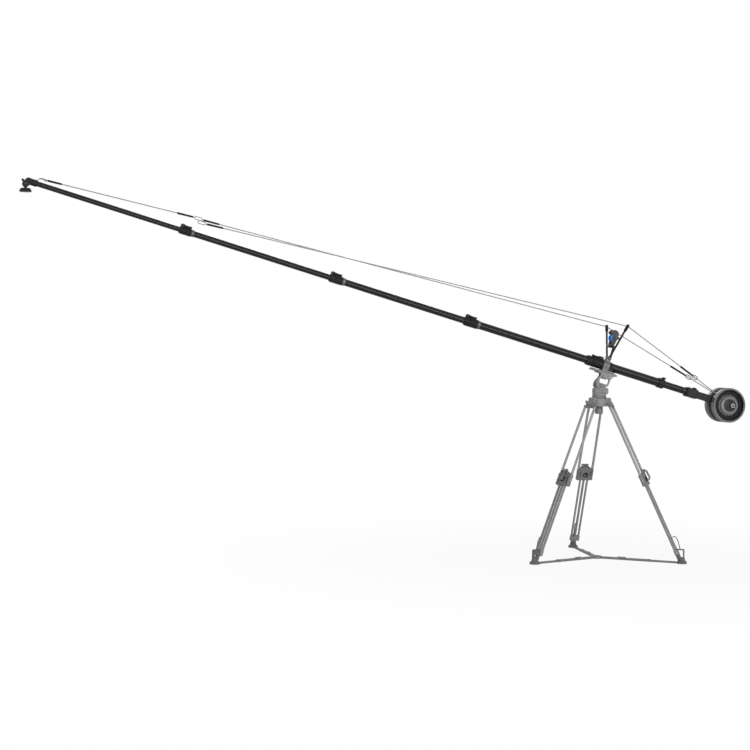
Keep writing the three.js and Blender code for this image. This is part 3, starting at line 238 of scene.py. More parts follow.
M = {
    "carbon": carbon(),
    "clamp": surface("black_clamp", 0.006, 0.012, 0.42, 0.0, 0.15, 700.0, wear=(60.0, 0.35, 0.06)),
    "knob": surface("black_knob", 0.006, 0.011, 0.54, 0.0, 0.15, 1400.0, 0.00012),
    "silver": surface("silver_bracket", 0.07, 0.17, 0.46, 0.5, grain=300.0, stretch=(1, 14, 1),
                      wear=(45.0, 0.5, 0.07)),
    "ring": surface("silver_ring", 0.07, 0.14, 0.4, 0.7, grain=500.0, stretch=(8, 1, 1)),
    "wire": strands("guy_wire", 0.19, 0.29, 900.0),
    "steel": surface("link_steel", 0.15, 0.25, 0.34, 0.8, grain=600.0, wear=(70.0, 0.4, 0.08)),
    "sleeve": surface("wire_sleeve", 0.006, 0.011, 0.5, 0.0, 0.14, 1500.0, 0.0001),
    "bar": surface("bar_paint", 0.007, 0.013, 0.42, 0.0, 0.16, 420.0, wear=(34.0, 0.4, 0.06)),
    "plate": enamel("plate_enamel", 0.085, 0.14, 0.46, 0.0005),
    "recess": enamel("plate_recess", 0.005, 0.010, 0.55, 0.0004, 0.0, 0.14),
    "hub": enamel("plate_hub", 0.095, 0.17, 0.42, 0.0003),
    "retainer": surface("retainer_dark", 0.018, 0.036, 0.44, 0.3, 0.35, wear=(50.0, 0.45, 0.10),
                        tint=(1.14, 0.96, 0.96)),
    "bright": surface("bright_steel", 0.28, 0.42, 0.28, 0.9, grain=500.0, stretch=(1, 9, 1)),
    "winch": surface("winch_paint", 0.026, 0.05, 0.48, 0.25, 0.3, wear=(60.0, 0.5, 0.16),
                     tint=(1.12, 1.0, 0.93)),
    "blue": surface("drum_blue", 0.42, 0.62, 0.42, 0.0, 0.2, wear=(60.0, 0.3, 0.7),
                    tint=(0.035, 0.30, 0.93)),
    "stand": surface("stand_grey", 0.155, 0.20, 0.5, 0.0, 0.3, 500.0, wear=(40.0, 0.35, 0.30)),
    "stand_dark": surface("stand_dark", 0.12, 0.155, 0.52, 0.0, 0.3, 500.0, wear=(46.0, 0.35, 0.24)),
    "stand_tube": surface("stand_tube", 0.20, 0.26, 0.38, 0.0, 0.45, 420.0, stretch=(9, 9, 1)),
    "rubber": surface("foot_rubber", 0.09, 0.125, 0.72, 0.0, 0.2, 1100.0, 0.00015),
}

# ---- outlines, in millimetres


def arc(x, y, r, a, b, n):
    """n steps round x, y, from the angle a to the angle b."""
    angles = [a + (b - a) * i / n for i in range(n + 1)]
    return [(x + r * math.cos(q), y + r * math.sin(q)) for q in angles]


def disc(r, x=0.0, y=0.0, n=32):
    return arc(x, y, r, 0, 2 * math.pi, n)[:-1]


def capsule(x1, y1, x2, y2, r, n=12):
    way = math.atan2(y2 - y1, x2 - x1)
    h = math.pi / 2
    return arc(x2, y2, r, way - h, way + h, n) + arc(x1, y1, r, way + h, way + 3 * h, n)


def rounded(left, bottom, right, top, r, n=5):
    h = math.pi / 2
    return (arc(right - r, bottom + r, r, -h, 0, n) + arc(right - r, top - r, r, 0, h, n)
            + arc(left + r, top - r, r, h, 2 * h, n) + arc(left + r, bottom + r, r, 2 * h, 3 * h, n))


def box(left, bottom, right, top):
    return [(left, bottom), (right, bottom), (right, top), (left, top)]


def sector(inner, outer, a, b, n=18):
    return arc(0, 0, outer, a, b, n) + arc(0, 0, inner, b, a, n)


def lobed(r, deep, lobes, n):
    """A grip: a disc whose radius swells by deep at each lobe."""
    pts = []
    for i in range(n):
        a = 2 * math.pi * i / n
        grip = r + deep * (0.5 + 0.5 * math.cos(lobes * a))
        pts.append((grip * math.cos(a), grip * math.sin(a)))
    return pts


def out(side, near, far):
    """From near to far on one side of the middle, the lower first."""
    return sorted((side * near, side * far))


# ---- solids

MERGE = 1e-6  # metres; less is lost in rounding at the boom's far end
EDGE_ANGLE = math.radians(34.0)
PLANES = {
    "x": lambda u, v, w: (w, u, v),
    "y": lambda u, v, w: (u, w, v),
    "z": lambda u, v, w: (u, v, w),
}


class Solid:
    """Closed shells gathered into one mesh, in millimetres of the frame place, moved by extra."""

    def __init__(self, place=WORLD):
        self.place = place
        self.shells = []
        self.op = "UNION"

    def cut(self):
        """What follows is taken away."""
        self.op = "DIFFERENCE"
        return self

    def add(self):
        """What follows is joined on again."""
        self.op = "UNION"
        return self

    def begin(self, edged):
        self.bm = bmesh.new()
        self.uv = self.bm.loops.layers.uv.new("UVMap")
        self.shells.append((self.bm, self.op, edged))

    def face(self, verts, uvs, mat):
        try:
            f = self.bm.faces.new(verts)
        except ValueError:
            return
        f.material_index = mat
        for loop, uv in zip(f.loops, uvs):
            loop[self.uv].uv = uv

    def points(self, pts, extra):
        m = self.place @ extra if extra is not None else self.place
        return [self.bm.verts.new((m @ Vector(p)) * MM) for p in pts]

    def prism(self, outline, a, b, plane="z", hole=None, extra=None, mat=0):
        """An outline pushed from a to b along the plane's own axis."""
        self.begin(True)
        put = PLANES[plane]
        ends = []
        for w in (a, b):
            outer = self.points([put(u, v, w) for u, v in outline], extra)
            inner = self.points([put(u, v, w) for u, v in hole], extra) if hole else None
            ends.append((outer, inner))
        n = len(outline)
        run = 0.0
        for i in range(n):
            j = (i + 1) % n
            step = math.dist(outline[i], outline[j]) * MM
            uv = ((run, a * MM), (run + step, a * MM), (run + step, b * MM), (run, b * MM))
            self.face([ends[0][0][i], ends[0][0][j], ends[1][0][j], ends[1][0][i]], uv, mat)
            if hole:
                self.face([ends[0][1][j], ends[0][1][i], ends[1][1][i], ends[1][1][j]], uv, mat)
            run += step
        for (outer, inner), flip in zip(ends, (True, False)):
            if hole:
                for i in range(n):
                    j = (i + 1) % n
                    uv = [(p[0] * MM, p[1] * MM) for p in (outline[i], outline[j], hole[j], hole[i])]
                    self.face([outer[i], outer[j], inner[j], inner[i]], uv, mat)
            else:
                uv = [(p[0] * MM, p[1] * MM) for p in outline]
                self.face(outer[::-1] if flip else outer, uv[::-1] if flip else uv, mat)
        return self

    def lathe(self, profile, axis="x", n=48, extra=None, mat=0, mats=None):
        """A closed profile of places along the axis and radii, turned once round it."""
        self.begin(False)
        put = PLANES[axis]
        rings = []
        for along, r in profile:
            if r < 1e-6:
                rings.append([self.points([put(0, 0, along)], extra)[0]])
            else:
                rings.append(self.points(
                    [put(r * math.cos(2 * math.pi * i / n), r * math.sin(2 * math.pi * i / n), along)
                     for i in range(n)], extra))
        run = 0.0
        for k in range(len(profile) - 1):
            r1, r2 = rings[k], rings[k + 1]
            if len(r1) == 1 and len(r2) == 1:
                continue
            step = math.dist(profile[k], profile[k + 1]) * MM
            radius = max(profile[k][1], profile[k + 1][1]) * MM
            which = mats[k] if mats else mat
            for i in range(n):
                j = (i + 1) % n
                u1, u2 = 2 * math.pi * radius * i / n, 2 * math.pi * radius * (i + 1) / n
                if len(r1) == 1:
                    self.face([r1[0], r2[j], r2[i]], ((u1, run), (u2, run + step), (u1, run + step)), which)
                elif len(r2) == 1:
                    self.face([r1[i], r1[j], r2[0]], ((u1, run), (u2, run), (u1, run + step)), which)
                else:
                    self.face([r1[i], r1[j], r2[j], r2[i]],
                              ((u1, run), (u2, run), (u2, run + step), (u1, run + step)), which)
            run += step
        return self

    def rod(self, a, b, r, axis="x", n=32, extra=None, mat=0, edge=0.0):
        if edge:
            profile = [(a, 0), (a, r - edge), (a + edge, r), (b - edge, r), (b, r - edge), (b, 0)]
        else:
            profile = [(a, 0), (a, r), (b, r), (b, 0)]
        return self.lathe(profile, axis, n, extra, mat)

    def path(self, pts, r, n=12, mat=0):
        """A round bar along a list of points."""
        self.begin(False)
        at = [self.place @ Vector(p) for p in pts]
        rings = []
        up = None
        run = 0.0
        for k, p in enumerate(at):
            ahead = (at[min(k + 1, len(at) - 1)] - at[max(k - 1, 0)]).normalized()
            if up is None:
                up = ahead.orthogonal().normalized()
            up = (up - ahead * up.dot(ahead)).normalized()
            side = ahead.cross(up)
            round_it = [2 * math.pi * i / n for i in range(n)]
            rings.append([self.bm.verts.new((p + up * r * math.cos(q) + side * r * math.sin(q)) * MM)
                          for q in round_it])
        for k in range(len(rings) - 1):
            step = (at[k + 1] - at[k]).length * MM
            for i in range(n):
                j = (i + 1) % n
                u1, u2 = 2 * math.pi * r * MM * i / n, 2 * math.pi * r * MM * (i + 1) / n
                self.face([rings[k][i], rings[k][j], rings[k + 1][j], rings[k + 1][i]],
                          ((u1, run), (u2, run), (u2, run + step), (u1, run + step)), mat)
            run += step
        self.face(rings[0][::-1], [(0, 0)] * n, mat)
        self.face(rings[-1], [(0, 0)] * n, mat)
        return self

    def make(self, name, mats, body=None, nodes=(), slot=None, bevel=0.0, steps=2, smooth=32.0):
        """Rounds each shell's edges, then joins or cuts the shells in their order into one closed mesh.

        The piece rides on the body and replaces the nodes. The slot is not used.
        """
        made = []
        for bm, op, edged in self.shells:
            bmesh.ops.remove_doubles(bm, verts=bm.verts, dist=MERGE)
            bmesh.ops.recalc_face_normals(bm, faces=bm.faces)
            if bevel and edged and op == "UNION":
                sharp = [e for e in bm.edges if e.is_manifold and e.calc_face_angle() > EDGE_ANGLE]
                bmesh.ops.bevel(bm, geom=sharp, offset=bevel * MM, segments=steps, profile=0.5,
                                affect="EDGES", clamp_overlap=True)
            mesh = bpy.data.meshes.new(name)
            bm.to_mesh(mesh)
            bm.free()
            for key in mats if isinstance(mats, (list, tuple)) else [mats]:
                mesh.materials.append(M[key])
            part = bpy.data.objects.new(name, mesh)
            bpy.context.scene.collection.objects.link(part)
            made.append((part, op))
        obj = made[0][0]
        if len(made) > 1:
            for part, op in made[1:]:
                mod = obj.modifiers.new("join", "BOOLEAN")
                mod.operation = op
                mod.solver = "MANIFOLD"
                mod.object = part
            bpy.context.view_layer.update()
            deps = bpy.context.evaluated_depsgraph_get()
            mesh = bpy.data.meshes.new_from_object(obj.evaluated_get(deps))
            obj.modifiers.clear()
            obj.data = mesh
            for part, _ in made[1:]:
                bpy.data.objects.remove(part)
        mesh = obj.data
        mesh.shade_smooth()
        mesh.set_sharp_from_angle(angle=math.radians(smooth))
        if bevel:
            mod = obj.modifiers.new("shading", "WEIGHTED_NORMAL")
            mod.keep_sharp = True
        if body:
            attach(obj, body)
        if nodes:
            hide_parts(*nodes)
        return obj


# ---- boom: tubes, collars and levers

WALL, FIT = 2.0, 0.3
STEP = 3.25
RADII = [30.0 - STEP * n for n in range(5)]
FACES = [-136.0]  # the collars' front ends and the tip's
for reach in (943.0, 999.0, 1062.0, 1020.0):
    FACES.append(FACES[-1] - reach)
COLLARS = [126.0, 97.0, 93.0, 82.0]
NOSE = 26.0  # the front of a collar, bored for the smaller tube
LUG_AT = [96.0, 3.0, 3.0, 3.0]
LUG_AHEAD = [12.0, 0.0, 0.0, 0.0]
LEVER_AT = [39.0, 33.0, 33.0, 33.0]
LEVER_LENGTH = [54.0, 42.0, 42.0, 40.0]
PIN_ANGLE = math.radians(112.0)
LEVER_END = math.radians(205.0)
NAMES = ["main", "section_2", "section_3", "section_4", "section_5"]
BODIES = ["boom_base", "section_2", "section_3", "section_4", "section_5"]
OVERLAP = 150.0  # of a drawn-out tube, still inside the larger one
MAIN_REAR = 466.0
TIP_SEAT = 19.0


def pipe(a, b, outer, inner, edge=0.6):
    return [(a, inner + edge), (a, outer - edge), (a + edge, outer), (b - edge, outer), (b, outer - edge),
            (b, inner + edge), (b - edge, inner), (a + edge, inner), (a, inner + edge)]


for k, name in enumerate(NAMES):
    front = FACES[4] + TIP_SEAT if k == 4 else FACES[k] + NOSE + FIT
    rear = MAIN_REAR if k == 0 else FACES[k - 1] + NOSE + OVERLAP
    Solid(BOOM).lathe(pipe(front, rear, RADII[k], RADII[k] - WALL), "x", 64).make(
        name + "_carbon_tube", "carbon", BODIES[k], [name + "_tube"], "tube_black")

for k, length in enumerate(COLLARS):
    large, small = RADII[k], RADII[k + 1]
    outer = large + 6.0
    at = BOOM @ shift(FACES[k])
    body, name = BODIES[k], NAMES[k]
    lug_at, lever_at, lever_length = LUG_AT[k], LEVER_AT[k], LEVER_LENGTH[k]
    collar = Solid(at).lathe([
        (0, small + 0.6), (0, small + 4.5), (1.2, small + 6.0), (9, outer - 0.4), (10.2, outer),
        (16, outer), (17, outer - 0.9), (19, outer - 0.9), (20, outer),
        (length - 22, outer), (length - 21, outer - 0.9), (length - 19, outer - 0.9), (length - 18, outer),
        (length - 1.2, outer), (length, outer - 1.2), (length, large + 3.2), (length + 0.4, large + FIT),
        (NOSE, large + FIT), (NOSE, small + FIT), (0.4, small + FIT), (0, small + 0.6)], "x", 72)
    for side in (-1, 1):
        collar.prism(rounded(lug_at - LUG_AHEAD[k], outer - 3, lug_at + 27, outer + 16.5, 6.5),
                     side * 1.3, side * 11.0, "y")
    pin = outer + 8.0
    foot = outer - 3.0
    c, s = math.cos(PIN_ANGLE), math.sin(PIN_ANGLE)
    for x, wide in ((lever_at - 8.0, 12.0), (lever_at + lever_length - 4.0, 7.0)):
        collar.prism(capsule(foot * c, foot * s, pin * c, pin * s, 8.0), x, x + wide, "x")
    collar.make(name + "_clamp", "clamp", body, [name + "_collar"], "clamp_black", bevel=0.7)
    hardware = Solid(at)
    hardware.rod(lever_at - 9.2, lever_at + lever_length + 4.2, 2.5, "x", 20,
                 extra=shift(0, pin * c, pin * s), edge=0.5)
    screw_at = shift(lug_at + 13.5, 0, outer + 7.5)
    hardware.rod(-13.5, -10.5, 5.0, "y", 24, extra=screw_at, edge=0.6)
    hardware.rod(10.5, 14.0, 5.5, "y", 6, extra=screw_at, edge=0.6)
    hardware.make(name + "_clamp_screws", "retainer", body, slot="wire_steel")
    if k > 0:
        ring = Solid(at).lathe([
            (length + 0.5, large + FIT), (length + 0.5, large + 3.0), (length + 1.5, large + 3.5),
            (length + 12, large + 3.5), (length + 13, large + 2.9), (length + 15, large + 2.9),
            (length + 16, large + 3.5), (length + 17.4, large + 3.5), (length + 18, large + 2.9),
            (length + 18, large + FIT), (length + 0.5, large + FIT)], "x", 64)
        ring.make(name + "_ring", "ring", body, slot="bracket_silver")
    lever = Solid(at)
    inner = outer + 1.3
    a, b = lever_at + 4.3, lever_at + lever_length - 4.3
    lever.prism(sector(inner, inner + 4.5, PIN_ANGLE, LEVER_END), a, b, "x")
    lever.prism(sector(inner + 0.1, inner + 7.5, math.radians(197.0), LEVER_END, 4), a, b, "x")
    lever.prism(disc(6.0, pin * c, pin * s), a, b, "x")
    lever.prism(sector(inner + 4.2, inner + 5.6, math.radians(135.0), math.radians(188.0)),
                a + 7, b - 7, "x")
    lever.make(name + "_flip_lever", "knob", name + "_lock", [name + "_lever"], "knob_black",
               bevel=1.1, steps=3)

# ---- tip

TIP_FACE = FACES[4]
TIP_R = RADII[4]
tip = BOOM @ shift(TIP_FACE)
AHEAD, DROP = 8.0, 22.0
clamp = Solid(tip).lathe([
    (0, 0), (0, TIP_R + 3.5), (1.5, TIP_R + 5), (26, TIP_R + 5), (27, TIP_R + 4.2), (30, TIP_R + 4.2),
    (31, TIP_R + 5), (61.5, TIP_R + 5), (63, TIP_R + 3.5), (63, TIP_R + FIT),
    (TIP_SEAT - FIT, TIP_R + FIT), (TIP_SEAT - FIT, 0)], "x", 64)
for side in (-1, 1):
    clamp.prism(capsule(5, 0, -AHEAD, -DROP, 22.0, 20), side * 11.3, side * 19.3, "y")
clamp.prism(capsule(57, TIP_R, 57, 19, 5.0), -7, 7, "y")
clamp.cut().prism(disc(22.8, -AHEAD, -DROP, 40), -11.3, 11.3, "y")
clamp.prism(box(-35, -50, -AHEAD, 30), -11.3, 11.3, "y")
clamp.make("tip_clamp_body", "clamp", "section_5", ["tip_clamp"], "clamp_black", bevel=0.8)

bolt = Solid(tip @ shift(-AHEAD, 0, -DROP))
bolt.rod(-25.6, -19.6, 9.0, "y", 6, edge=1.0).rod(19.6, 25.6, 9.0, "y", 6, edge=1.0)
bolt.rod(-20.4, 20.4, 5.0, "y", 24).rod(-27.0, -25.0, 5.0, "y", 20, edge=0.6)
bolt.make("tip_pivot_bolt", "retainer", "section_5", ["tip_bolt"], "knob_black", bevel=0.5)

level = tip @ shift(-AHEAD, 0, -DROP) @ turn(-SLOPE, "Y")
EAR = (-19, 26)
knuckle = Solid(level)
knuckle.prism(disc(20.0, 0, 0, 48), -11, 11, "y")
knuckle.prism(capsule(0, 0, *EAR, 7.0), -7.5, 7.5, "y")
knuckle.lathe([(-28, 0), (-28, 11), (-25, 9.4), (-14, 9), (0, 12), (0, 0)], "z", 40)
knuckle.make("levelling_knuckle", "clamp", "camera_mount", ["tip_knuckle"], "clamp_black", bevel=0.9)
ear = Solid(level @ shift(EAR[0], 0, EAR[1]))
ear.rod(-11, -7.3, 5.2, "y", 24, edge=0.8).rod(7.3, 11, 5.2, "y", 6, edge=0.8)
ear.make("knuckle_screw", "knob", "camera_mount", slot="knob_black")
flange = Solid(level).lathe([
    (-52.3, 0), (-52.3, 37.6), (-51, 39), (-42, 39), (-40, 38), (-31.5, 33), (-29, 31.6), (-28.3, 30),
    (-28.3, 0)], "z", 72).cut()
for q in range(4):
    a = math.radians(45 + 90 * q)
    flange.prism(disc(3.0, 29 * math.cos(a), 29 * math.sin(a), 20), -56, -26, "z")
flange.make("round_flange", "clamp", "camera_mount", ["camera_flange"], "clamp_black")

# ---- bracket, mast and winch

BRACKET = COLLARS[0] - 136.0 + FIT
MAST_X, MAST_H, MAST_Y = 22.0, 300.0, 193.0
FOOT_H, FOOT_Y = 44.0, 11.0
run_y, rise = MAST_Y - FOOT_Y, MAST_H - FOOT_H
STRUT = math.hypot(run_y, rise)
LEAN = math.atan2(run_y, rise)
PLATE_DROP = 42.0
MAIN_BORE = RADII[0] + FIT


def strut_foot(side):
    return shift(MAST_X, side * FOOT_Y, FOOT_H) @ turn(-side * LEAN, "X")


saddle = Solid(BOOM)
band = [(0, 0), (0, 37.5), (1.5, 39), (20, 39), (21.5, 37.2), (24, 37.2), (25.5, 39), (44, 39), (45.5, 37),
        (46, 33.5), (70.5, 33.5), (72, 32.4), (72, 0)]
saddle.lathe([(BRACKET + x, r) for x, r in band], "x", 72, mats=[0] * 9 + [1] * 3)
saddle.prism(rounded(BRACKET, -32, BRACKET + 100, 32, 9), FIT - PLATE_DROP, FIT - PLATE_DROP + 9, "z")
under = 9 - PLATE_DROP
saddle.prism([(-32, under), (32, under), (39, 0), (-39, 0)], BRACKET, BRACKET + 45, "x")
saddle.prism([(-32, under), (32, under), (31, 0), (-31, 0)], BRACKET + 44, BRACKET + 72, "x", mat=1)
saddle.prism(rounded(MAST_X - 19, -22, MAST_X + 19, 22, 9), 0, 48, "z")
for side in (-1, 1):
    saddle.rod(0, 30, 11, "z", 40, extra=strut_foot(side), edge=1.2)
saddle.cut().rod(BRACKET - 5, BRACKET + 105, MAIN_BORE, "x", 64)
for side in (-1, 1):
    saddle.rod(6, 40, 7.3, "z", 32, extra=strut_foot(side))
saddle.make("mast_bracket", ["silver", "clamp"], "boom_base", ["pivot_bracket"], "bracket_silver", bevel=1.0)
screws = Solid(BOOM)
for x in (BRACKET + 10, BRACKET + 62):
    for side in (-1, 1):
        screws.rod(under, 13.5 - PLATE_DROP, 4.5, "z", 6, extra=shift(x, side * 26, 0), edge=0.7)
screws.make("bracket_screws", "bright", "boom_base", slot="wire_steel")

for name, side in (("near", -1), ("far", 1)):
    strut = Solid(BOOM @ strut_foot(side)).lathe([
        (6.3, 0), (6.3, 6.4), (7, 7), (STRUT - 52, 7), (STRUT - 52, 10.2), (STRUT - 50.8, 11),
        (STRUT - 14, 11), (STRUT - 13, 9.8), (STRUT - 10, 9.8), (STRUT - 9, 11), (STRUT - 1.5, 11),
        (STRUT, 9.5), (STRUT, 0)], "z", 40)
    strut.make("mast_strut_" + name + "_tube", "clamp", "boom_base", ["mast_strut_" + name], "clamp_black")

DRUM_X, DRUM_H = 17.0, 203.0
EGG_TOP, EGG_FOOT = (13.0, 230.0, 31.0), (22.0, 168.0, 13.0)
CHEEKS = ((-26, -22), (22, 26))
axle = shift(DRUM_X, 0, DRUM_H)
case = Solid(BOOM)
tilt = math.asin((EGG_TOP[2] - EGG_FOOT[2]) / math.dist(EGG_TOP[:2], EGG_FOOT[:2]))
egg = arc(*EGG_TOP, -tilt, math.pi + tilt, 40) + arc(*EGG_FOOT, math.pi + tilt, 2 * math.pi - tilt, 16)
for a, b in CHEEKS:
    case.prism(egg, a, b, "y")
case.prism(sector(26.5, 31.0, 0, math.radians(105), 24), -24, 24, "y",
           extra=shift(EGG_TOP[0], 0, EGG_TOP[1]))
case.cut().prism(disc(27.0, -15.0, 200.0, 48), -30, 30, "y")
case.add()
for a, b in CHEEKS:
    case.prism(capsule(DRUM_X, DRUM_H, 46, DRUM_H + 8, 9, 14), a, b, "y")
case.prism(rounded(8, 150, 32, 156, 1.5), -26, 26, "y")
case.prism(rounded(-13, 50.3, 13, 153, 2), 35, 43, "x")
case.prism(rounded(18, 146, 43, 153, 2), -13, 13, "y")
for a, b in ((-28.5, -25.5), (25.5, 28.5)):
    case.rod(a, b, 11.5, "y", 40, extra=axle, edge=0.8)
case.cut().rod(-40, 40, 7.3, "y", 32, extra=axle)
case.make("winch_case", "winch", "boom_base", ["winch_frame"], "winch_grey", bevel=1.2, steps=3)
rollers = Solid(BOOM)
for x in (-1.0, 20.0):
    rollers.rod(-21, 21, 8.0, "y", 28, extra=shift(x, 0, 140), edge=1.0)
for a, b in ((-24, -20), (20, 24)):
    rollers.prism(capsule(-1, 140, 14, 160, 3.2), a, b, "y")
    rollers.prism(capsule(20, 140, 20, 160, 3.2), a, b, "y")
rollers.make("winch_rollers", "clamp", "boom_base", slot="clamp_black", bevel=0.6)

drum_at = BOOM @ axle @ turn(math.pi, "Z")
Solid(drum_at).lathe([
    (-32, 0), (-32, 6.2), (-31.2, 7), (-21, 7), (-21, 26.6), (-19.6, 28), (-18.4, 28), (-17, 26.6), (-17, 21),
    (17, 21), (17, 26.6), (18.4, 28), (19.6, 28), (21, 26.6), (21, 7), (29.2, 7), (30, 6.2), (30, 0)],
    "y", 64, mats=[1] * 3 + [0] * 11 + [1] * 3).make(
    "winch_drum_body", ["blue", "retainer"], "winch", ["winch_drum"], "drum_blue")
crank = Solid(drum_at)
crank.prism(disc(13, 0, 0, 40), -39, -27, "y")
crank.prism(capsule(0, 0, 0, -60, 8.0), -39, -33, "y")
crank.lathe([(-62, 0), (-62, 6.5), (-60, 8), (-55, 8), (-49, 7.2), (-41, 6.4), (-38, 5.5), (-38, 0)],
            "y", 36, extra=shift(0, 0, -60))
crank.cut().rod(-32.3, -20, 7.3, "y", 32)
crank.make("winch_crank_arm", "clamp", "winch", ["winch_crank"], "clamp_black", bevel=0.8)

# ---- rear tube, tail clamp, weight bar and knobs

REAR_X = MAIN_REAR + FIT + 20.0 - 50.0
TAIL_X = 665.0
REAR_R = 25.0
REAR_BORE = REAR_R + FIT
rear = Solid(BOOM @ shift(REAR_X)).lathe([
    (0, 30.9), (0, 34.8), (1.2, 36), (12, 36), (13, 35.1), (15, 35.1), (16, 36), (40, 36), (41.2, 35.4),
    (49.4, 31.4), (50, 30.2), (50, REAR_BORE), (30, REAR_BORE), (30, MAIN_BORE), (0.5, MAIN_BORE),
    (0, 30.9)], "x", 64)
rear.rod(27, 37, 9, "z", 32, extra=shift(40), edge=1.0)
rear.cut().rod(20, 44, 4.3, "z", 28, extra=shift(40))
rear.make("rear_collar_body", "clamp", "boom_base", ["rear_collar"], "clamp_black", bevel=0.6)
Solid(BOOM).lathe(pipe(MAIN_REAR - 80, TAIL_X + 34, REAR_R, REAR_R - WALL), "x", 64).make(
    "rear_carbon_tube", "carbon", "tail", ["rear_tube"], "tube_black")


def knob(name, at, body, node_name, depth):
    """A lobed knob whose stem reaches depth into its clamp."""
    k = Solid(at)
    k.prism(lobed(12.6, 4.2, 7, 84), 1.6, 9.6, "z")
    k.rod(9.2, 11.0, 9.5, "z", 40, edge=0.8)
    k.rod(-depth, 5, 4.0, "z", 28)
    k.make(name, "knob", body, [node_name], "knob_black", bevel=1.2, steps=3)


knob("rear_hand_knob", BOOM @ shift(REAR_X + 40, 0, 36), "rear_lock", "rear_knob", 10.7)
knob("tail_hand_knob", BOOM @ shift(TAIL_X + 63, 0, 33), "tail_lock", "tail_knob", 7.7)

tail = Solid(BOOM)
tail.prism(rounded(-33, -33, 33, 33, 9, 6), TAIL_X, TAIL_X + 82, "x")
tail.rod(28, 34, 9, "z", 32, extra=shift(TAIL_X + 63), edge=1.0)
tail.prism(rounded(-34.5, -34.5, 34.5, 34.5, 10, 6), TAIL_X + 6, TAIL_X + 16, "x")
tail.cut().rod(TAIL_X - 5, TAIL_X + 34.3, REAR_BORE, "x", 64)
tail.prism(rounded(-REAR_BORE, -REAR_BORE, REAR_BORE, REAR_BORE, 5), TAIL_X + 44, TAIL_X + 90, "x")
tail.rod(20, 42, 4.3, "z", 28, extra=shift(TAIL_X + 63))
tail.make("tail_clamp_block", "clamp", "tail", ["tail_clamp"], "clamp_black", bevel=1.4, steps=3)

BAR = (TAIL_X + 44.3, TAIL_X + 351.3)
AXLE_X, AXLE_DROP = BAR[1] - 25.0, 8.0
EYE_X = BAR[1] - 111.0
bar = Solid(BOOM)
bar.prism(rounded(-25, -25, 25, 25, 5, 6), BAR[0], BAR[1], "x", hole=rounded(-22, -22, 22, 22, 3, 6))
bar.prism(rounded(-17, 23, 17, 60, 8, 6), EYE_X, EYE_X + 8, "x")
bar.rod(-107.9, 107.9, 12.5, "y", 48, extra=shift(AXLE_X, 0, -AXLE_DROP), edge=1.6, mat=1)
bar.make("weight_bar_body", ["bar", "bright"], "tail", ["weight_bar"], "bar_black", bevel=0.6)

# ---- counterweights

plate_profile = [
    (31, 112), (31, 122.4), (33.4, 124.8), (73.6, 124.8), (76, 122.4), (76, 119.5), (74.6, 118.3),
    (74.6, 115.2), (76, 114), (76, 112.6), (74.8, 111.2), (55, 106.4), (54, 105.2), (54, 100), (55.2, 99),
    (55.2, 97), (54, 96), (54, 75), (55.4, 72), (69, 65.5), (71.4, 64.4), (73, 62), (76, 24), (76, 12.8),
    (25.3, 12.8), (25.3, 22), (64, 22), (48, 69), (48, 106), (31, 112)]
RIM, RECESS, HUB = 0, 1, 2
plate_mats = []
for (a1, r1), (a2, r2) in zip(plate_profile, plate_profile[1:]):
    outside, r = (a1 + a2) / 2 > 50, (r1 + r2) / 2
    if outside and 74 < r < 111.5 and r1 < 112:
        plate_mats.append(RECESS)
    elif outside and 12.9 < r <= 74:
        plate_mats.append(HUB)
    else:
        plate_mats.append(RIM)
for name, sense in (("near", math.pi), ("far", 0.0)):
    at = BOOM @ shift(AXLE_X, 0, -AXLE_DROP) @ turn(sense, "Z")
    Solid(at).lathe(plate_profile, "y", 120, mats=plate_mats).make(
        "counterweight_" + name, ["plate", "recess", "hub"], "plate_" + name, ["weight_plate_" + name],
        "plate_grey", smooth=30)
    knob_piece = Solid(at)
    knob_piece.lathe([
        (76.3, 12.8), (76.3, 44.4), (77.8, 46), (81, 46), (82.6, 44.4), (83.4, 40), (98.2, 25), (100, 22.6),
        (104.2, 19.2), (106, 18), (112.5, 17.6), (112.6, 12.8), (76.3, 12.8)], "y", 80)
    knob_piece.prism(lobed(16.6, 1.4, 16, 128), 104.6, 121.4, "y")
    knob_piece.make("retainer_" + name + "_body", "retainer", "retainer_" + name,
                    ["weight_knob_" + name], "retainer_dark", bevel=0.7)
    cap = Solid(at)
    cap.lathe([(121.3, 15.2), (123.2, 15.0), (124.3, 13.8), (124.3, 9.6), (122.6, 8.4), (121.3, 8.4),
               (121.3, 15.2)], "y", 64)
    cap.make("retainer_" + name + "_ring", "steel", "retainer_" + name, slot="wire_steel")

# ---- guy wires

LINK_X, LINK_H = -3038.0, 107.0
link = Solid(BOOM @ shift(LINK_X, 0, LINK_H))


def add_ring(solid, cx, cz, half, outside, r, sides=12):
    """A closed round bar of radius r, bent to a long ring that is round at its ends."""
    solid.begin(False)
    m = solid.place
    at = [m @ Vector((cx + x, 0, cz + z)) for x, z in capsule(-half, 0, half, 0, outside - r, 14)]
    n = len(at)
    rings = []
    normal = (m.to_3x3() @ Vector((0, 1, 0))).normalized()
    for k in range(n):
        outward = (at[(k + 1) % n] - at[k - 1]).normalized().cross(normal)
        angles = [2 * math.pi * i / sides for i in range(sides)]
        rings.append([solid.bm.verts.new((at[k] + normal * r * math.cos(q) + outward * r * math.sin(q)) * MM)
                      for q in angles])
    for k in range(n):
        here, ahead = rings[k], rings[(k + 1) % n]
        for i in range(sides):
            j = (i + 1) % sides
            solid.face([here[i], here[j], ahead[j], ahead[i]], [(0, 0)] * 4, 0)


add_ring(link, 0, 0, 17, 12, 3.0)
add_ring(link, 29, -20, 17, 12, 3.0)
link.make("wire_rings", "steel", "section_4", ["wire_link"], "wire_steel")

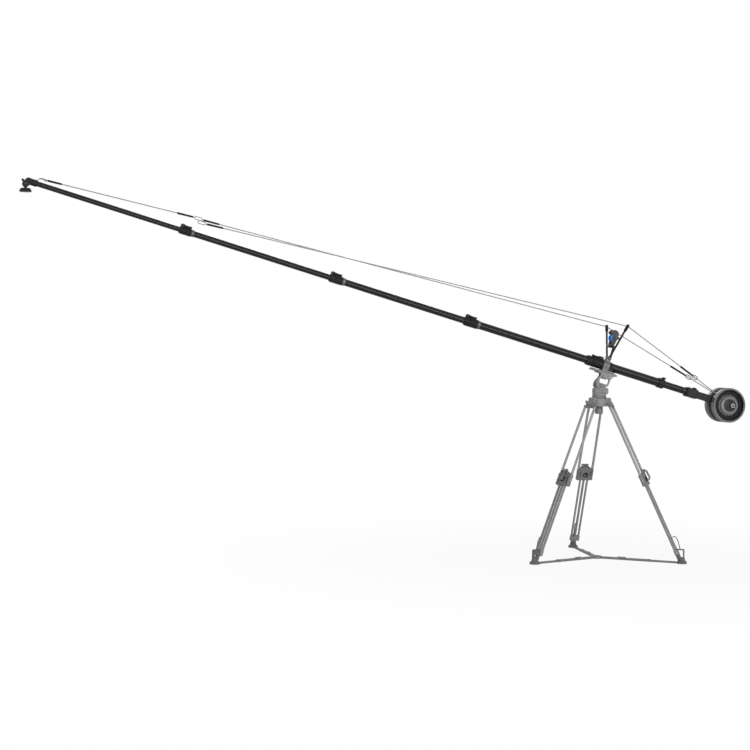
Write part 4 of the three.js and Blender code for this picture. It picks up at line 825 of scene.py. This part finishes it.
WIRE, WIRE_SEEN, SLEEVE, SLEEVE_LENGTH = 2.5, 3.5, 7.0, 112.0


def wire_frame(a, b):
    way = (Vector(b) - Vector(a)).normalized()
    return Matrix.Translation(Vector(a)) @ Vector((1, 0, 0)).rotation_difference(way).to_matrix().to_4x4()


def follow(obj, a, b, start, end, pair):
    """Bakes the piece's place into its mesh."""
    m = BOOM @ wire_frame(a, b)
    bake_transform(obj)


def wire_piece(name, a, b, start, end, pair, nodes, rings=28):
    """A stretch of bare wire from start to end along the way from a to b."""
    s = Solid(BOOM @ wire_frame(a, b))
    places = [start + (end - start) * i / rings for i in range(rings + 1)]
    s.lathe([(start, 0)] + [(x, WIRE_SEEN) for x in places] + [(end, 0)], "x", 14)
    obj = s.make(name, "wire", None, nodes, "wire_steel")
    follow(obj, a, b, start, end, pair)


def sleeve(name, a, b, at, span, pair, long=SLEEVE_LENGTH):
    """A black sleeve over a wire's end."""
    s = Solid(BOOM @ wire_frame(a, b))
    s.lathe([(at, 0), (at, 4.2), (at + 2, SLEEVE), (at + long - 5, SLEEVE - 0.6), (at + long, 3.4),
             (at + long, 0)], "x", 28)
    follow(s.make(name, "sleeve", slot="wire_steel"), a, b, *span, pair)


def buckle(name, a, b, at, long, span, pair):
    """A long ring between a sleeve and the wire's end."""
    s = Solid(BOOM @ wire_frame(a, b) @ shift(at + long / 2))
    add_ring(s, 0, 0, long / 2 - 12.5, 14.5, 2.8)
    follow(s.make(name, "retainer", slot="wire_steel"), a, b, *span, pair)


def leave(cap_top, axis, target):
    """Where a wire to the target leaves the mast's cap."""
    way = (Vector(target) - cap_top).normalized()
    lean = way.dot(axis)
    return cap_top + way * (CAP_R + FIT + WIRE * abs(lean)) / math.sqrt(1 - lean ** 2)


CAP_R = 11.0
tip_from = (TIP_FACE + 57 + 6 + FIT, 0, 36.0)
tip_to = (LINK_X - 29 - FIT, 0, LINK_H)
tip_len = math.dist(tip_from, tip_to)
TIP_PAIR = ("section_5", "section_4")
wire_piece("tip_guy_wire", tip_from, tip_to, 0.0, tip_len, TIP_PAIR, ["tip_wire"])
sleeve("tip_sleeve_a", tip_from, tip_to, 55.0, (0.0, tip_len), TIP_PAIR, 95.0)
sleeve("tip_sleeve_b", tip_from, tip_to, tip_len - SLEEVE_LENGTH - 5, (0.0, tip_len), TIP_PAIR)
hook = Solid(tip)
hook.path([(57, 0, 18), (61, 0, 31), (67, 0, 38), (76, 0, 43), (88, 0, 45.5), (97, 0, 42), (101, 0, 38.5)],
          2.2, 14)
add_ring(hook, 108, 38.2, 2.0, 8.5, 2.4)
hook.make("tip_wire_hook", "steel", "section_5", slot="wire_steel")
for name, side in (("near", -1), ("far", 1)):
    cap_top = Vector((MAST_X, side * (MAST_Y - CAP_R * math.sin(LEAN)), MAST_H - CAP_R * math.cos(LEAN)))
    ring = (29.0, 20.0) if side < 0 else (0.0, 0.0)
    start = (LINK_X + ring[0] + 29 + FIT, side * 5.0, LINK_H - ring[1])
    axis = Vector((0, side * math.sin(LEAN), math.cos(LEAN)))
    front_end = leave(cap_top, axis, start)
    length = (front_end - Vector(start)).length
    cuts = [0.0, 1270.0, 2540.0, length]
    pairs = [("section_4", "section_3"), ("section_3", "section_2"), ("section_2", "boom_base")]
    for q in range(3):
        wire_piece(f"front_guy_{name}_{q + 1}", start, front_end, cuts[q], cuts[q + 1], pairs[q],
                   ["front_wire_" + name], 40)
    sleeve("front_sleeve_" + name, start, front_end, 5.0, cuts[:2], pairs[0])
    tail_end = (EYE_X - WIRE / 2 - FIT, side * 9.0, 48.0)
    rear_start = leave(cap_top, axis, tail_end)
    length = (Vector(tail_end) - rear_start).length
    rear_pair = ("boom_base", "tail")
    wire_piece("rear_guy_" + name, rear_start, tail_end, 0.0, length, rear_pair, ["rear_wire_" + name])
    sleeve_at = length - 258 - 130
    sleeve("rear_sleeve_" + name, rear_start, tail_end, sleeve_at, (0.0, length), rear_pair, 130.0)
    buckle("rear_buckle_" + name, rear_start, tail_end, sleeve_at + 130, 46, (0.0, length), rear_pair)

# ---- fluid head

base = Solid()
base.lathe([(1135.3, 0), (1135.3, 50.6), (1136.7, 52), (1147, 52), (1148, 51), (1149.6, 51), (1150.3, 50),
            (1150.3, 0)], "z", 72)
base.lathe([(1075.3, 0), (1075.3, 6), (1101, 6), (1101, 36.4), (1112, 44.6), (1124, 48.8), (1135.6, 49.7),
            (1135.6, 0)], "z", 64)
base.make("head_pan_base", "stand_dark", "stand", ["head_base"], "stand_dark")
body = Solid()
body.lathe([(1150.6, 0), (1150.6, 48), (1151.8, 49), (1160, 49), (1161, 48), (1163, 48), (1164, 49),
            (1171, 49), (1176.6, 45), (1176.6, 0)], "z", 72)
body.prism([(-42, 1172.6), (42, 1172.6), (40, 1186), (26, 1200)] + arc(0, TILT_Z, 17, 0, math.pi, 28)
           + [(-26, 1200), (-40, 1186)], -34, 34, "y")
body.prism(rounded(-40, 1166, 56, 1209, 7), -34, 34, "y")
body.prism(disc(12, 0, TILT_Z, 48), -47, 47, "y")
body.make("head_housing", "stand", "pan_head", ["head_body"], "stand_grey", bevel=1.6, steps=3)
caps = Solid()
for side in (-1, 1):
    caps.prism(lobed(15, 1.4, 16, 128), *out(side, 45.0, 52.5), "y", extra=shift(0, 0, TILT_Z))
caps.make("tilt_drag_rings", "stand_dark", "pan_head", slot="stand_dark", bevel=0.6)

plate_top = LIFT - PLATE_DROP
plate_low = plate_top - 20.0
top = Solid(CRADLE)
front_edge = arc(0, 0, 30, 1.25 * math.pi, 1.85 * math.pi, 16) + [
    (40, 2), (48, 14), (51, 34), (53, 60), (74, plate_low + 7)]
near_cheek = front_edge + [
    (-36, plate_low + 7), (-27, 76), (-33, 56), (-42, 36), (-45, 14), (-40, -6), (-30, -18)]
far_cheek = front_edge + [
    (-20, plate_low + 7), (-8, 76), (-16, 52), (-30, 30), (-33, 10), (-31, -6), (-26, -16)]
top.prism(near_cheek, -44.6, -34.6, "y").prism(far_cheek, 34.6, 44.6, "y")
top.prism(rounded(-49, -44.6, 78, 44.6, 7), plate_low, plate_top - 7, "z")
top.prism(rounded(-100, -39, 98, 39, 10, 6), plate_low + 7, plate_top - 6.7, "z")
top.prism(rounded(-100, -28, 98, 28, 7, 6), plate_top - 7, plate_top, "z")
top.cut().prism(disc(12.3, 0, 0, 48), -60, 60, "y")
top.prism(rounded(-26, 15.5, 40, 56, 13, 8), -60, 0, "y")
top.prism(rounded(-10, 15.5, 90, 56, 6, 8), 0, 60, "y")
top.prism(disc(4.5, -14, 68, 24), -60, 60, "y").prism(disc(5.5, 50, 75, 24), -60, 60, "y")
top.make("head_top_plate", "stand", "boom_base", ["head_plate"], "stand_grey", bevel=1.6, steps=3)

# ---- tripod

crown = Solid()
crown.lathe([(1079, 6.3), (1079, 57), (1081, 60), (1085, 64), (1096, 64), (1097.5, 62.8), (1101, 62.8),
             (1102.5, 64), (1129, 64), (1133, 63), (1135, 61), (1135, 50), (1126, 49), (1112, 44.9), (1101, 37),
             (1101, 6.3), (1079, 6.3)], "z", 72)
for n in range(3):
    crown.prism(capsule(50, LEG_PIVOT_Z, LEG_PIVOT_R, LEG_PIVOT_Z, 15, 14), -25, 25, "y", extra=stand(n))
    crown.prism(capsule(74, LEG_PIVOT_Z, 68, 1128, 14, 14), -25, 25, "y", extra=stand(n))
knob_at = turn(math.radians(162.0), "Z") @ shift(0, 0, 1110)
crown.rod(58, 84, 4.5, "x", 24, extra=knob_at).rod(82, 97, 8.5, "x", 28, extra=knob_at, edge=1.5)
crown.cut().lathe([(1100.7, 0), (1100.7, 37), (1112, 44.9), (1126, 49), (1135, 50), (1140, 50), (1140, 0)],
                  "z", 72)
crown.make("tripod_crown", "stand", "stand", ["crown"], "stand_grey", bevel=1.2, steps=2)

tie = Solid()
tie.lathe([(1025, 0), (1025, 22), (1027, 25.5), (1031, 27.6), (1063, 28), (1067, 26), (1069, 23),
           (1069, 14), (1078.7, 14), (1078.7, 6.4), (1075, 6.4), (1075, 0)], "z", 64)
tie.prism(lobed(26.6, 2.0, 12, 144), 1031, 1062, "z")
tie.make("bowl_tie_down", "stand_dark", "bowl_lock", ["bowl_knob"], "stand_dark", bevel=0.9)

TUBE_TOP_Y, TUBE_Y, TUBE_R, UPPER_END = 46.5, 52.5, 9.0, -600.0
CLAMP_TOP, CLAMP_LOW, WINDOW_Z, STAGE_TOP = -543.0, -627.0, -583.0, -597.0
PIN_X, PIN_Z = 25.5, -520.0
ARCH = [(-48, -546), (48, -546)] + arc(0, -582, 60, math.radians(36.87), math.radians(143.13), 20)
BENDS = [(0, 0), (15, -10), (18, -62), (8, -76)]
SLANT = turn(-LEG_LEAN, "Y")
for n, letter in enumerate("abc"):
    place = leg(n)
    upper = Solid(place)
    for side in (-1, 1):
        upper.prism(capsule(0, 0, 0, -18, 13, 12), *out(side, 25.3, 37.3), "y")
        upper.rod(*out(side, 36.5, 40.5), 8.0, "y", 28, edge=0.8)
        upper.path([(0, side * TUBE_TOP_Y, -23), (0, side * TUBE_Y, UPPER_END)], TUBE_R, 40, 1)
    upper.prism(disc(5, 0, 0, 24), -31, 31, "y")
    upper.prism(rounded(-52, -32, 52, -16.5, 6, 6), -9.5, 9.5, "x")
    upper.prism(rounded(-16.5, -60, 16.5, 60, 9, 6), CLAMP_LOW, CLAMP_TOP, "z")
    for z in (CLAMP_LOW + 6, CLAMP_TOP - 14):
        upper.prism(rounded(-17.5, -61, 17.5, 61, 9.5, 6), z, z + 8, "z")
    upper.prism(ARCH, -14, 17, "x")
    for a, b in ((-25.3, -20.3), (20.3, 25.3)):
        upper.prism(capsule(10, PIN_Z - 22, PIN_X, PIN_Z, 7, 10), a, b, "y")
    upper.prism(disc(3, PIN_X, PIN_Z, 20), -23, 23, "y")
    upper.cut().prism(box(-8.8, -33.3, 8.8, 33.3), CLAMP_LOW - 10, -500, "z")
    upright = shift(0, 0, WINDOW_Z) @ turn(LEG_LEAN, "Y")
    upper.prism(disc(12.5, -3, 0, 32), -40, 40, "x", extra=upright)
    for y in (-39.3, 39.3):
        upper.prism(rounded(y - 5.4, -22, y + 5.4, 22, 5, 6), -40, 40, "x", extra=upright)
    upper.make(f"leg_{letter}_upper_stage", ["stand_dark", "stand_tube"], f"leg_{letter}_top",
               [f"leg_{letter}_upper"], "stand_grey", bevel=1.1)
    for side_name, sense in (("outer", 1), ("inner", -1)):
        ring = Solid(place @ shift(0, -3, WINDOW_Z))
        ring.prism(disc(19.0, n=40), *out(sense, 16.6, 20.5), "x", hole=disc(13.0, n=40))
        ring.make(f"leg_{letter}_window_ring_{side_name}", "clamp", f"leg_{letter}_top", slot="stand_dark",
                  bevel=0.9)

    lower = Solid(place)
    end = 66.0 - LEG_LENGTH
    for y in (-26.5, 26.5):
        lower.prism(rounded(-8.3, y - 6.5, 8.3, y + 6.5, 5, 6), end, STAGE_TOP, "z")
    lower.rod(end, STAGE_TOP, 8.5, "z", 40)
    lower.prism(box(-8.5, -33, 8.5, 33), STAGE_TOP - 19, STAGE_TOP, "z")
    lower.prism(rounded(-11.5, -36, 11.5, 36, 6.5, 6), end, end + 38, "z")
    lower.cut().rod(end - 10, STAGE_TOP + 10, 7.0, "z", 32)
    lower.make(f"leg_{letter}_lower_stage", "stand", f"leg_{letter}_stage", [f"leg_{letter}_lower"],
               "stand_dark", bevel=0.9)

    flip = Solid(place @ shift(PIN_X, 0, PIN_Z))
    flip.prism(disc(7), -20, 20, "y")
    for a, b in zip(BENDS, BENDS[1:]):
        flip.prism(capsule(*a, *b, 3, 10), -20, 20, "y")
    flip.cut().prism(disc(3.3, 0, 0, 24), -30, 30, "y")
    flip.prism(rounded(-12.5, -58, 12.5, -14, 5, 6), 8, 30, "x")
    flip.make(f"leg_{letter}_lock_lever", "stand_dark", f"leg_{letter}_lock", [f"leg_{letter}_lever"],
              "stand_dark", bevel=1.0, steps=3)

    ankle = place @ shift(0, 0, -LEG_LENGTH) @ turn(LEG_LEAN, "Y")
    foot = Solid(ankle)
    foot.lathe([(8, 0), (8, 33), (9.6, 35), (12, 34.4), (13.2, 35), (15.4, 35), (16.4, 33.6), (17.4, 31),
                (22, 25), (26, 22.6), (42, 20.4), (44, 18), (44, 0)], "z", 56)
    foot.rod(24, 65.7, 15, "z", 40, extra=SLANT, edge=1.0).rod(24, 92, 6.7, "z", 28, extra=SLANT)
    foot.prism(capsule(14, 20, 13, 98, 3.5, 8), -11, 11, "y")
    foot.prism(capsule(13, 98, -30, 98, 3.5, 8), -11, 11, "y")
    foot.make(f"foot_{letter}_rubber", "rubber", f"leg_{letter}_stage", [f"foot_{letter}"], "foot_rubber",
              bevel=0.8)
    tie_wire = Solid(ankle)
    tie_wire.path([(-12, 0, 100), (-15, 0, 112), (-20, 0, 128), (-26, 0, 152), (-38, 0, 175), (-46, 0, 185),
                   (-56, 0, 187), (-66, 0, 179)], 3.3, 12)
    tie_wire.make(f"foot_{letter}_wire_loop", "stand_dark", f"leg_{letter}_stage", slot="stand_dark")

# ---- ground spreader

FOOT_R = LEG_PIVOT_R + LEG_PIVOT_Z * math.tan(LEG_LEAN)
hub = Solid()
hub.lathe([(0.2, 0), (0.2, 37), (1.2, 38), (15, 38), (17.5, 36), (19, 33), (19, 0)], "z", 64).cut()
for n in range(3):
    hub.prism(box(17.7, -6.3, 44, 6.3), -4, 24, "z", extra=stand(n))
hub.add().rod(17, 20.4, 11, "z", 40, edge=0.8)
hub.make("spreader_centre", "stand_dark", "spreader", ["spreader_hub"], "stand_dark")
for n, letter in enumerate("abc"):
    arm = Solid(stand(n))
    arm.prism(box(-6, 0.2, 6, 16), 18, 50, "x")
    arm.prism(rounded(-14, 0.2, 14, 16, 4, 5), 42, 385, "x")
    arm.prism([(-8, 12), (8, 12), (4, 22), (-4, 22)], 154, 210, "x")
    arm.prism(rounded(-9, 0.2, 9, 7.7, 2, 4), 373, FOOT_R - 18, "x")
    arm.prism(rounded(-10, 0.2, 10, 14, 4, 4), 380, FOOT_R - 42, "x")
    arm.prism(rounded(-15.5, 0.2, 15.5, 17.2, 4, 5), 368, 386, "x")
    arm.lathe([(0.2, 0), (0.2, 35), (1.2, 36), (6.4, 36), (7.7, 34.7), (7.7, 0)], "z", 56,
              extra=shift(FOOT_R))
    arm.make(f"spreader_arm_{letter}_body", "stand_dark", "spreader", [f"spreader_arm_{letter}"],
             "stand_dark", bevel=0.8)

# ---- floor, background and lamps, in metres

HALF, FLOOR_Z, FLOOR_TONE = 30, -0.0005, 0.86
WORLD_LIGHT = 0.38


def seen(tree, *names):
    """1 for the rays of these kinds, else 0."""
    rays = tree.nodes.new("ShaderNodeLightPath")
    socket = rays.outputs[names[0]]
    for name in names[1:]:
        most = tree.nodes.new("ShaderNodeMath")
        most.operation = "MAXIMUM"
        tree.links.new(socket, most.inputs[0])
        tree.links.new(rays.outputs[name], most.inputs[1])
        socket = most.outputs[0]
    return socket


floor_mesh = bpy.data.meshes.new("floor")
corners = [(x, y, 0) for x, y in box(-HALF, -HALF, HALF, HALF)]
floor_mesh.from_pydata(corners, [], [(0, 1, 2, 3)])
floor = bpy.data.objects.new("floor", floor_mesh)
floor.location.z = FLOOR_Z
bpy.context.scene.collection.objects.link(floor)
paint = Mat("floor", specular=0.1)
paint.bsdf.inputs["Base Color"].default_value = rgb(FLOOR_TONE)
paint.bsdf.inputs["Roughness"].default_value = 0.9
glow = node(paint.tree, "ShaderNodeEmission", Strength=1.0)
away = paint.tree.nodes.new("ShaderNodeVectorMath")
away.operation = "LENGTH"
paint.link(paint.coord.outputs["Object"], away.inputs[0])
share = paint.tree.nodes.new("ShaderNodeMath")
share.operation = "MULTIPLY"
paint.link(seen(paint.tree, "Is Camera Ray", "Is Glossy Ray"), share.inputs[0])
paint.link(paint.span(away.outputs["Value"], 0.86, 1.0, (0.9, 3.2)), share.inputs[1])
mixer = paint.tree.nodes.new("ShaderNodeMixShader")
for k, socket in enumerate((share.outputs[0], paint.bsdf.outputs[0], glow.outputs[0])):
    paint.link(socket, mixer.inputs[k])
paint.link(mixer.outputs[0], paint.tree.nodes["Material Output"].inputs["Surface"])
floor_mesh.materials.append(paint.mat)

world = bpy.data.worlds.new("studio")
bpy.context.scene.world = world
world.use_nodes = True
sky = world.node_tree
background = sky.nodes["Background"]
background.inputs["Color"].default_value = rgb(1.0)
strength = node(sky, "ShaderNodeMapRange", To_Min=WORLD_LIGHT, To_Max=1.0)
sky.links.new(seen(sky, "Is Camera Ray", "Is Glossy Ray", "Is Transmission Ray"), strength.inputs["Value"])
sky.links.new(strength.outputs["Result"], background.inputs["Strength"])


def lamp(name, at, target, size, power, tall=None):
    data = bpy.data.lights.new(name, "AREA")
    data.shape = "RECTANGLE" if tall else "DISK"
    data.size = size
    data.size_y = tall if tall else size
    data.energy = power
    obj = bpy.data.objects.new(name, data)
    bpy.context.scene.collection.objects.link(obj)
    obj.location = at
    obj.rotation_mode = "QUATERNION"
    obj.rotation_quaternion = (Vector(target) - Vector(at)).to_track_quat("-Z", "Y")


lamp("key", (-5.5, -7.5, 6.5), (-1.2, 0, 1.2), 5.0, 230)
lamp("strip", (0.8, -9.5, 1.3), (0.8, 0, 1.5), 10.0, 600, 1.2)
lamp("fill", (5.0, -6.0, 4.0), (0, 0, 1.2), 4.0, 60)
lamp("back", (0.0, 6.0, 5.0), (-1.0, 0, 1.4), 4.0, 200)

bpy.context.scene.view_settings.view_transform = "Standard"

bpy.context.view_layer.update()
